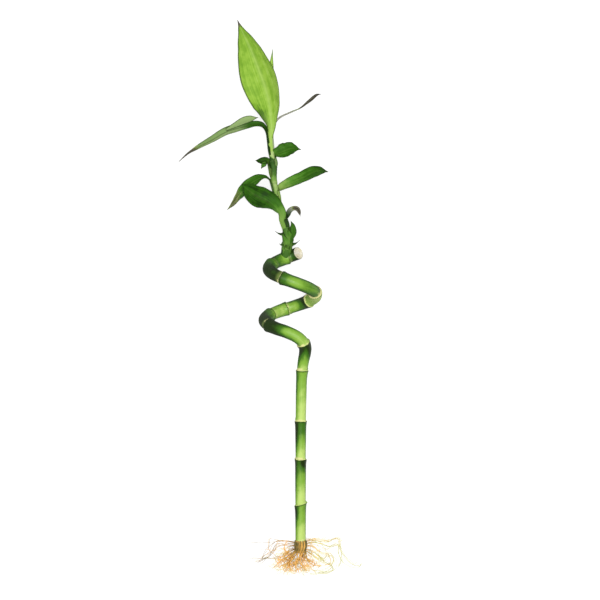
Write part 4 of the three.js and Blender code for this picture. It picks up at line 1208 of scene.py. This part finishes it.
# %% A skin over a walk
def root_skin(points, thick, thin, tone, sides=6, samples=None):
    """A tapering tube along a walk."""
    route = Route(points, 4 * len(points))
    along = np.linspace(0, route.length, samples or 2 * len(points))
    point, _, up, side = route.frames(along)
    share = along / route.length
    knobbly = 1 + 0.12 * np.sin(along * 1.9 + 7 * draw.random()) * (thick > 0.3)
    radius = (thick + (thin - thick) * share**0.8) * knobbly
    angle, out = around(up, side, sides)
    rings = point[:, None] + out * radius[:, None, None]
    rings[..., 2] = np.maximum(rings[..., 2], 0.01)
    tones = (tone[0] + (tone[1] - tone[0]) * share[:, None] * np.ones_like(angle)).ravel()
    return *tube(rings), {"grown": straightened(radius[:, None], angle, along[:, None]), "tone": tones}


def way_out(turn):
    return foot_up * math.cos(turn) + foot_side * math.sin(turn)


def on_crown(turn, out, height):
    """A point on the crown: that far out from its middle, that far up the cane from its end."""
    return foot_point - foot_ahead * height + way_out(turn) * out


# %% The stout roots and the crown
STOUT_ROOTS = 24
CROWN_TOP, CROWN_LONG, CROWN_WIDE = 7.6, 12.4, 4.7  # how far up the cane it starts, its length and its radius


def make_stout_roots():
    """The collar of stubs at the lowest ring, which run down along the foot before they spread."""
    skins, tips = [], []
    for i in range(STOUT_ROOTS):
        turn = 2 * math.pi * (i + 0.5 * draw.random()) / STOUT_ROOTS
        walked = [on_crown(turn, 3.6, 8.2), on_crown(turn, 4.9 + 0.4 * draw.random(), 6.2)]
        walked.append(on_crown(turn, 5.1 + 0.6 * draw.random(), 2.5))
        walked.append(on_crown(turn + 0.2, 4.3 + 0.8 * draw.random(), -1.8))
        way = way_out(turn)
        across, down = foot_ahead[0] + 0.4 * way[0] - 0.4, foot_ahead[1] * 1.2 + 0.4 * way[1]
        heading = math.degrees(math.atan2(down, across))
        length, lie = draw.uniform(19, 31), draw.uniform(0.8, 4)
        walked += root_walk(walked[-1], heading, length, 8, lie, 0.6, steps=10)[1:]
        tones = (0.0, 0.75) if abs(way[0]) > 0.75 else (draw.choice((0.0, 0.1, 0.45)), 0.9)
        skins.append(root_skin(walked, draw.uniform(0.4, 0.7), 0.24, tones, sides=8, samples=48))
        tips += walked[7:]
    return skins, tips


def make_crown():
    """The knob of brown tissue under the ring, lumpy where roots have broken out."""
    along = np.linspace(0, 1, 40)[:, None]
    height = CROWN_TOP - CROWN_LONG * along
    rounded = np.sqrt(np.clip(1 - np.clip((along - 0.45) / 0.56, 0, 1) ** 2, 0.01, 1))
    wide = CROWN_WIDE * rounded * smooth(along, -0.3, 0.08)
    angle, way = around(foot_up[None], foot_side[None], 40)
    lumps = 1 + 0.07 * unevenness(angle, height, 6, 5)
    rings = (foot_point - height * foot_ahead)[:, None] + way * (wide * lumps)[..., None]
    flat = np.ones_like(lumps)
    tones = (0.2 + 0.4 * along * flat).ravel()
    return *tube(rings), {"grown": straightened(wide, angle * flat, -height), "tone": tones}


# %% The tangle
def make_tangle(count, sweep, reach, spread, thick, tone, curl, lies, starts):
    """Thin roots that leave from along the stout ones and fan out over the floor."""
    skins = []
    for i in range(count):
        heading = math.radians(sweep[0] + (sweep[1] - sweep[0]) * (i + draw.random()) / count)
        far = draw.uniform(*reach)
        across, down = math.cos(heading) * spread[0], math.sin(heading) * spread[1]
        length = far * math.hypot(across, down)
        start = starts[draw.randrange(len(starts))]
        lie = draw.uniform(*lies)
        width = draw.uniform(*thick)
        walked = root_walk(start, math.degrees(math.atan2(down, across)), length, curl, lie, 0.9)
        skins.append(root_skin(walked, width, 0.45 * width, tone, sides=5))
    return skins


# %% The long roots that can be told apart
# Their course in mm across and along, the tones of their two ends, and how many grow along it.
LONG_ROOTS = (
    (((35, -220), (43, -219), (51, -221), (58, -220), (63, -217), (68, -216), (69, -220), (69, -227),
      (71, -232), (75, -237), (80, -241), (85, -242), (88, -240)), (0.95, 1.3), 4),
    (((35, -222), (44, -221), (52, -223), (59, -225), (65, -223), (68, -224), (69, -230), (70, -238),
      (67, -244)), (1.0, 1.3), 4),
    (((35, -227), (42, -231), (49, -236), (55, -235), (60, -231), (64, -235), (63, -241), (57, -245),
      (50, -247), (42, -248)), (1.0, 1.3), 4),
    (((35, -226), (43, -228), (50, -233), (55, -238), (60, -241), (63, -245), (58, -248), (50, -248)),
      (0.95, 1.3), 4),
    (((36, -223), (45, -225), (51, -230), (57, -232), (61, -236), (59, -241), (54, -240), (50, -237),
      (54, -233)), (0.85, 1.2), 3),
    (((32, -220), (23, -221), (16, -220), (10, -220), (7, -223), (5, -228), (2, -232), (-2, -237),
      (-4, -238)), (0.4, 0.15), 4),
    (((32, -222), (23, -223), (15, -222), (10, -224), (7, -229), (4, -233), (1, -236), (-5, -238)),
      (0.45, 0.2), 4),
    (((32, -218), (21, -218), (10, -218), (-2, -218), (-13, -218)), (0.4, 0.2), 1),
    (((32, -225), (22, -228), (18, -232), (12, -235), (4, -235), (-4, -235), (-14, -235)), (0.4, 0.2), 2),
    (((32, -226), (23, -230), (18, -236), (14, -240), (9, -245)), (0.3, 0.7), 3),
)
FALL_WITHIN = 5.0  # how far a long root runs before it has come down to the floor
OFF_KEPT = 0.85  # how much of its distance from the course a long root keeps from point to point


def make_long_roots():
    """Each course is grown a few times, every time with a little wander of its own."""
    skins = []
    for course, tones, copies in LONG_ROOTS:
        for _ in range(copies):
            lie, wander = draw.uniform(0.3, 1.4), draw.uniform(0.6, 2.0)
            walked, gone, before, off = [], 0.0, np.array(course[0]), np.zeros(2)
            for k, place in enumerate(np.array(course)):
                gone += math.dist(place, before)
                before = place
                off = OFF_KEPT * off + 0.5 * wander * np.array([draw.gauss(0, 1), draw.gauss(0, 1)]) * (k > 0)
                height = lie + (foot_point[2] - lie) * math.exp(-((gone / FALL_WITHIN) ** 2))
                walked.append(np.array([*np.clip(place + off, patch_low, patch_high + (0, -1)), height]))
            skins.append(root_skin(walked, draw.uniform(0.18, 0.27), 0.12, tones, sides=5, samples=70))
    return skins


# %% Grow the crown and the roots
stout, branching = make_stout_roots()
collar = [on_crown(2 * math.pi * k / 12, 4.6, 5 - 8 * (k % 3) / 3) for k in range(12)]
skins = [make_crown(), *stout]
# How many, headings in degrees, reach, spread across and down, thickness, tones, curl, the heights that they
# lie at, and where they start.
TANGLES = (
    (120, (-210, 10), (0.4, 1.2), (10, 17), (0.16, 0.26), (0.85, 1.1), 24, (0.2, 5), branching),
    (40, (-135, -80), (0.5, 1.2), (16, 26), (0.16, 0.26), (0.95, 1.2), 12, (0.2, 5), branching),
    (10, (178, 235), (0.6, 1.2), (34, 26), (0.2, 0.28), (0.3, 0.6), 9, (0.1, 2), collar + branching),
    (30, (-75, 5), (0.7, 1.6), (46, 28), (0.18, 0.24), (0.9, 1.15), 24, (0.1, 2), branching),
    (3, (178, 200), (1.0, 1.4), (44, 18), (0.18, 0.24), (0.5, 0.9), 4, (0.1, 1), collar),
    (4, (-20, 0), (0.8, 1.2), (50, 20), (0.18, 0.24), (0.6, 1.2), 8, (0.1, 1), collar),
)
for tangle in TANGLES:
    skins += make_tangle(*tangle)
skins += make_long_roots()
print(len(skins), "roots and root stubs")

# %% [markdown]
# ## Roots: their material
#
# Young roots of this plant are known for their colour, a rusty orange that pales to straw at the hair-thin
# ends, while the collar they break from is dark brown cork. The tone that was stored along each root runs
# through these.

# %% Dress the roots
SHADED = 0.95  # the gain of the lamps among the roots, which take each other's light


def make_root_material():
    material, shader, mix = new_material("bare_root", 0.15)
    grown = mix.layer("grown", "Vector")
    grain = mix.group(fibres, {"Grown": grown, "Fineness": 1.6, "Length": 6.0})
    tone = mix.math("ADD", mix.layer("tone"), mix.nudge(grain["Patches"], 0.3))
    colour = mix.blend(mix.ramp(tone, 0.05, 0.5), hue("5f5630", SHADED), hue("c89a4c", SHADED))
    colour = mix.blend(mix.ramp(tone, 0.45, 0.85), colour, hue("eeb663", SHADED))
    colour = mix.blend(mix.ramp(tone, 0.85, 1.2), colour, hue("b8b66a", SHADED))
    colour = mix.blend(mix.math("MULTIPLY", grain["Streaks"], 0.15), colour, hue("8a6228"))
    rough = mix.ramp(grain["Streaks"], 0.0, 1.0, 0.6, 0.85)
    mix.finish(shader, colour, rough, grain["Streaks"], 0.5, 0.00015)
    return material


plant_piece("root_tangle", joined(skins), make_root_material(), "root", "roots")

# %% [markdown]
# ## The floor
#
# A sweep that glows like a light table, as the photograph was cut out on pure white: the glow lifts the
# shadows to a trace. Its own colour is a middling grey, because a floor that shines much above white would
# swallow the hair-thin roots. Faint mottling keeps it from being one flat tone. It lies a hair under the
# plant, so that the flat spot of the cane and the floor never fight for the same place.

# %% Lay the floor
FLOOR_SIZE = 16.0
FLOOR_GAP = 0.0001
FLOOR_GLOW = 0.75


def make_floor_material():
    material, shader, mix = new_material("white_sweep", 0.5)
    place = mix.node("TexCoord")["Object"]
    mottle = mix.noise(place, 6.0, 4.0)
    grey = mix.blend(mottle, (0.24, 0.24, 0.24, 1), (0.27, 0.27, 0.27, 1))
    mix.fill(shader, {"Base Color": grey, "Roughness": mix.ramp(mottle, 0.3, 0.7, 0.75, 0.9)})
    shader.inputs["Emission Color"].default_value = (1, 1, 1, 1)
    shader.inputs["Emission Strength"].default_value = FLOOR_GLOW
    return material


half = FLOOR_SIZE / 2
corners = [(x * half, y * half, -FLOOR_GAP) for x, y in ((-1, -1), (1, -1), (1, 1), (-1, 1))]
floor_mesh = bpy.data.meshes.new("floor")
floor_mesh.from_pydata(corners, [], [(0, 1, 2, 3)])
floor_mesh.materials.append(make_floor_material())
floor = bpy.data.objects.new("floor", floor_mesh)
scene.collection.objects.link(floor)
